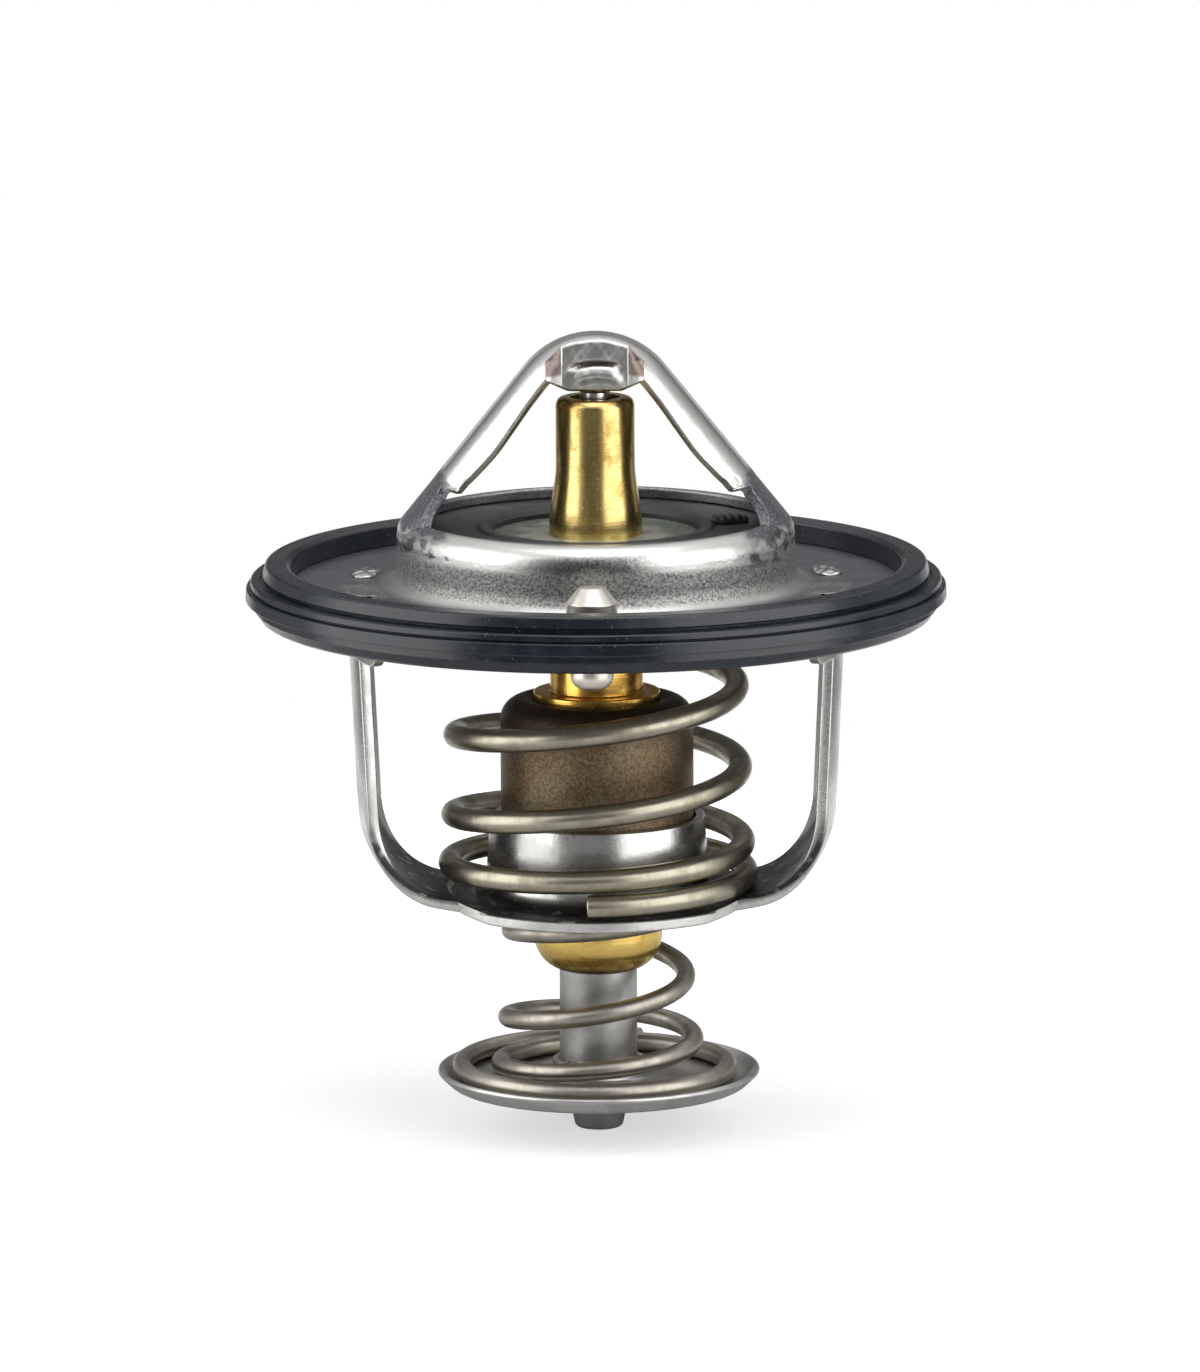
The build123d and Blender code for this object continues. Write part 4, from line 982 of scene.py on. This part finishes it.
element = {
    "cup": [
        (5.65, -10.3, 0.04), (5.65, -9.95, 0.15), (6.4, -9.8, 0.3), (8.55, -9.8, 1.9), (8.55, -28.0, 0.3),
        (6.8, -28.0, 0.05), (6.8, -22.0, 0.05), (5.8, -22.0, 0.05), (5.8, -13.0, 0.05), (7.3, -13.0, 0.05),
        (7.3, -10.3, 0.05),
    ],
    "nose": [
        (6.8, -22.0, 0.05), (6.8, -28.1, 0.5), (5.72, -28.6, 0.5), (5.72, -34.4, 3.2), (2.2, -34.4, 0.05),
        (2.2, -33.1, 0.05), (4.9, -33.1, 2.4), (4.9, -22.0, 0.05),
    ],
    "stem": [
        (1.2, -48.7, 0), (2.1, -48.7, 0.5), (2.7, -45.75, 0.05), (2.35, -45.75, 0.03), (2.35, -44.95, 0.03),
        (3.45, -44.95, 0.05), (3.45, -33.6, 0.03), (2.2, -33.6, 0.03), (2.2, -32.3, 0.03), (3.2, -32.3, 0.05),
        (3.2, -31.5, 0.05), (1.2, -31.5, 0),
    ],
}

cupGrid = lathe(element["cup"], around=180, steps=9)
noseGrid = lathe(element["nose"], around=160, steps=12)
stemGrid = lathe(element["stem"], closed=False, around=120, cap=True)
makePiece("waxCup", [cupGrid], "element", cupBrown, ["wax_cup"])
makePiece("noseCup", [noseGrid], "element", noseBrass, ["nose_cup"])
makePiece("stemRod", [stemGrid], "element", stemSteel, ["stem"])


# Bypass disc: a shallow dish with a staked hub

dish = {
    "outline": [
        (3.5, -42.42, 0.12), (3.72, -42.36, 0.1), (4.1, -42.45, 0.14), (4.1, -44.0, 0.6), (13.0, -44.0, 1.2),
        (14.12, -43.16, 0.2), (14.4, -43.55, 0.25), (13.0, -44.9, 1.6), (3.5, -44.9, 0.2),
    ],
    "dents": 28, "dentHeight": 0.11,
}


def dishGrid():
    points, groups = lathe(dish["outline"], around=336, steps=8)
    # the hub's top is staked over the stem in a ring of small dents
    x, y, z = points.T
    near = (1 - smooth(3.7, 4.0, np.hypot(x, y))) * smooth(-42.8, -42.5, z)
    points[:, 2] += near * dish["dentHeight"] * np.cos(dish["dents"] * np.arctan2(y, x))
    return points, groups


makePiece("bypassDish", [dishGrid()], "bypass_valve", discSteel, ["bypass_disc"])


# Jiggle valve

jiggle = {
    "circle": 21.5, "angle": radians(-91.0),
    "pin": [
        (0.4, -5.2, 0), (0.7, -5.2, 0.1), (0.7, -1.7, 0.05), (0.9, -1.7, 0.05), (0.9, 0.5, 0.05),
        (2.2, 0.5, 0.1), (2.25, 2.4, 0.12), (1.13, 3.75, 0.2), (0.5, 3.8, 0),
    ],
    "weight": [(0.7, -5.2, 0.03), (1.9, -5.2, 1.2), (1.9, -1.7, 0.1), (0.7, -1.7, 0.03)],
}


def placed(grid):
    # moved from the axis to the hole in the flange
    a = jiggle["angle"]
    return grid[0] + jiggle["circle"] * np.array([cos(a), sin(a), 0]), grid[1]


pinGrid = placed(lathe(jiggle["pin"], closed=False, around=72, cap=True))
weightGrid = placed(lathe(jiggle["weight"], around=72))
makePiece("jigglePin", [pinGrid], "jiggle_valve", jiggleMetal, ["jiggle_pin"], 32)
makePiece("jiggleWeight", [weightGrid], "jiggle_valve", jiggleMetal, ["jiggle_weight"], 32)


# Springs

mainSpring = {
    "wire": 2.1, "start": -94.0, "turns": 5.85, "bottomCoil": 13.3, "topCoil": 11.75, "deadTurns": 0.85,
    "runIn": 0.9, "lean": 0.35, "low": -26.2, "high": 3.05, "closedShare": 1.02, "travel": 8.5,
    "height": 31.35,
}
bypassSpring = {
    "wire": 1.7, "start": 72.0, "turns": 4.3, "footCoil": 12.4, "topCoil": 7.75, "low": -43.15,
    "high": -28.85, "travel": 5.0, "height": 16.0,
    # shares of the way to the foot coil's radius and of the climb, by turns
    "spread": [
        (0, 1), (0.3, 0.96), (0.8, 0.8), (1.3, 0.21), (1.8, 0.16), (2.3, 0.075), (2.8, 0.01), (4.3, 0),
    ],
    "climb": [(0, 0), (1.2, 0), (1.8, 0.17), (2.3, 0.31), (2.8, 0.57), (3.3, 0.86), (3.75, 1), (4.3, 1)],
}


def coilPath(turns, start, radius, height):
    angle = radians(start) + turn * turns
    return np.stack([radius * np.cos(angle), radius * np.sin(angle), height], axis=1)


def mainPath():
    # closed pitch all along, plus the open pitch between the closed ends, eased in over the run-in
    m = mainSpring
    t = np.linspace(0, m["turns"], 900)

    def opened(t):
        return np.where(t < m["runIn"], np.maximum(t, 0) ** 2 / (2 * m["runIn"]), t - m["runIn"] / 2)

    pitch = m["wire"] * m["closedShare"]
    active = m["turns"] - 2 * m["deadTurns"] - m["runIn"]
    rate = (m["high"] - m["low"] - pitch * m["turns"]) / active
    lifted = opened(t - m["deadTurns"]) - opened(t - m["turns"] + m["deadTurns"] + m["runIn"])
    leaning = m["lean"] * np.sin(pi * t / m["turns"]) ** 2 * np.cos(radians(m["start"]) + turn * t)
    radius = m["bottomCoil"] + (m["topCoil"] - m["bottomCoil"]) * t / m["turns"]
    return coilPath(t, m["start"], radius, m["low"] + pitch * t + rate * lifted + leaning)


def bypassPath():
    b = bypassSpring
    t = np.linspace(0, b["turns"], 640)
    radius = b["topCoil"] + (b["footCoil"] - b["topCoil"]) * throughKnots(b["spread"], t)
    height = b["low"] + (b["high"] - b["low"]) * throughKnots(b["climb"], t)
    return coilPath(t, b["start"], radius, height)


mainGrid = tube(mainPath(), mainSpring["wire"] / 2, 24)
mainCoil = makePiece("mainSpring", [mainGrid], "frame", wireSteel, ["main_spring"], 32)
lowGrid = tube(bypassPath(), bypassSpring["wire"] / 2, 22)
bypassCoil = makePiece(
    "bypassSpring", [lowGrid], "element", bypassWire, ["bypass_spring"], 32,
)
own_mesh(mainCoil)
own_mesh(bypassCoil)


# The pieces sealed inside keep their CAD solids

for node, finish in {
    "backup_plate": innerRubber, "rubber_plug": innerRubber, "diaphragm": innerRubber,
    "guide_seal": sealRubber, "semifluid": waxFill, "wax": waxFill, "retaining_ring": pinSteel,
}.items():
    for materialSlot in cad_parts[node].material_slots:
        materialSlot.material = finish.material
print("pieces made")


# Studio

studio = {
    "focal": 209.913, "distance": 1063.0, "elevation": radians(10.3), "aim": (0.3, 0.0, -8.87),
    "roll": radians(-0.33),
    # the table under the object: its shade, the radii where it fades to white, and its glow
    "floor": -48.75, "floorRadius": 0.16, "floorShade": 0.62, "floorFade": (45.0, 145.0),
    "floorGlow": 0.56, "floorMirrored": 0.5,
    # what lights the object from all sides, and what metal sees round it
    "fill": 0.4, "dark": 0.12, "ceiling": 0.85, "sides": 0.35,
    # name: bearing from the camera's side, elevation, distance, width, height, power
    "lamps": {
        "softLeft": (-75.0, 12.0, 0.9, 1.0, 1.2, 7.5), "softRight": (55.0, 12.0, 0.9, 1.1, 1.2, 8.2),
        "softTop": (20.0, 78.0, 1.0, 0.8, 0.8, 4.0),
    },
}


def makeCamera():
    s = studio
    data = bpy.data.cameras.new("camera")
    data.lens = s["focal"]
    data.sensor_width = 24.0                    # the frame's long side
    data.clip_start, data.clip_end = 0.05, 20.0
    camera = addObject("camera", data)
    x, y, z = s["aim"]
    away, above = s["distance"] * cos(s["elevation"]), s["distance"] * sin(s["elevation"])
    camera.location = x * mm, (y - away) * mm, (z + above) * mm
    camera.rotation_mode = "QUATERNION"
    tilt = Quaternion((1, 0, 0), pi / 2 - s["elevation"])
    camera.rotation_quaternion = tilt @ Quaternion((0, 0, 1), s["roll"])
    bpy.context.scene.camera = camera


def makeLamp(name, bearing, elevation, distance, width, height, power):
    data = bpy.data.lights.new(name, "AREA")
    data.shape = "RECTANGLE"
    data.size, data.size_y = width, height
    data.energy = power
    lamp = addObject(name, data)
    a, e = radians(bearing), radians(elevation)
    lamp.location = distance * Vector((sin(a) * cos(e), -cos(a) * cos(e), sin(e)))
    lamp.rotation_mode = "QUATERNION"
    lamp.rotation_quaternion = (-lamp.location).to_track_quat("-Z", "Y")
    lamp.visible_camera = False


class Sky(Finish):
    # the world's own nodes
    def __init__(self, world):
        world.use_nodes = True
        self.tree = world.node_tree
        self.tree.nodes.clear()


def makeWorld():
    # White to the camera and through glass. Metal sees the same white behind the object, a pale ceiling and
    # grey sides, and dark elsewhere. Everything else gets an even fill.
    world = bpy.data.worlds.new("studio")
    bpy.context.scene.world = world
    sky = Sky(world)
    x, y, z = sky.parts(sky.make("ShaderNodeTexCoord", {}, {}, "Generated"))
    backdrop = y.rise(0.86, 0.94) * (1 - z.rise(0.02, 0.1))
    ceiling = z.rise(0.3, 0.7)
    sides = abs(x).rise(0.45, 0.9) * z.between(-0.2, 0.6, 0.2)
    seen = backdrop.atLeast(ceiling * studio["ceiling"]).atLeast(sides * studio["sides"] + studio["dark"])
    camera, glossy, through = sky.rays("Camera", "Glossy", "Transmission")
    white = camera.atLeast(through)
    level = white + (1 - white) * (glossy * seen + (1 - glossy) * studio["fill"])
    shade = sky.node("ShaderNodeBackground", {}, {"Color": (1, 1, 1, 1), "Strength": level})
    output = sky.tree.nodes.new("ShaderNodeOutputWorld")
    sky.tree.links.new(shade.outputs[0], output.inputs["Surface"])


def makeFloor():
    # A pale round table under the stem's tail. The camera and reflections see it turn to the background's
    # white towards its edge, with the object's shadow kept in the middle.
    s = studio
    count, radius = 96, s["floorRadius"]
    angles = evenAngles(count)
    level = np.full(count, s["floor"] * mm)
    rim = np.stack([radius * np.cos(angles), radius * np.sin(angles), level], axis=1)
    mesh = bpy.data.meshes.new("floor")
    mesh.from_pydata(rim.tolist(), [], [list(range(count))])
    floor = addObject("floor", mesh)
    finish = Finish("paleFloor", Roughness=0.9)
    finish.shader.inputs["Base Color"].default_value = (*[s["floorShade"]] * 3, 1)
    finish.shader.inputs["Specular IOR Level"].default_value = 0.0
    finish.shader.inputs["Emission Strength"].default_value = 1.0
    camera, glossy = finish.rays("Camera", "Glossy")
    away = finish.radius().rise(*s["floorFade"])
    glow = camera * (s["floorGlow"] + away * (1 - s["floorGlow"])) + glossy * away * s["floorMirrored"]
    finish.feed("Emission Color", finish.mix(glow, (0.0, 0.0, 0.0), (1.0, 1.0, 1.0)))
    mesh.materials.append(finish.material)


makeCamera()
makeWorld()
makeFloor()
for name, lamp in studio["lamps"].items():
    makeLamp(name, *lamp)
bpy.context.scene.view_settings.view_transform = "Standard"
print("studio made")
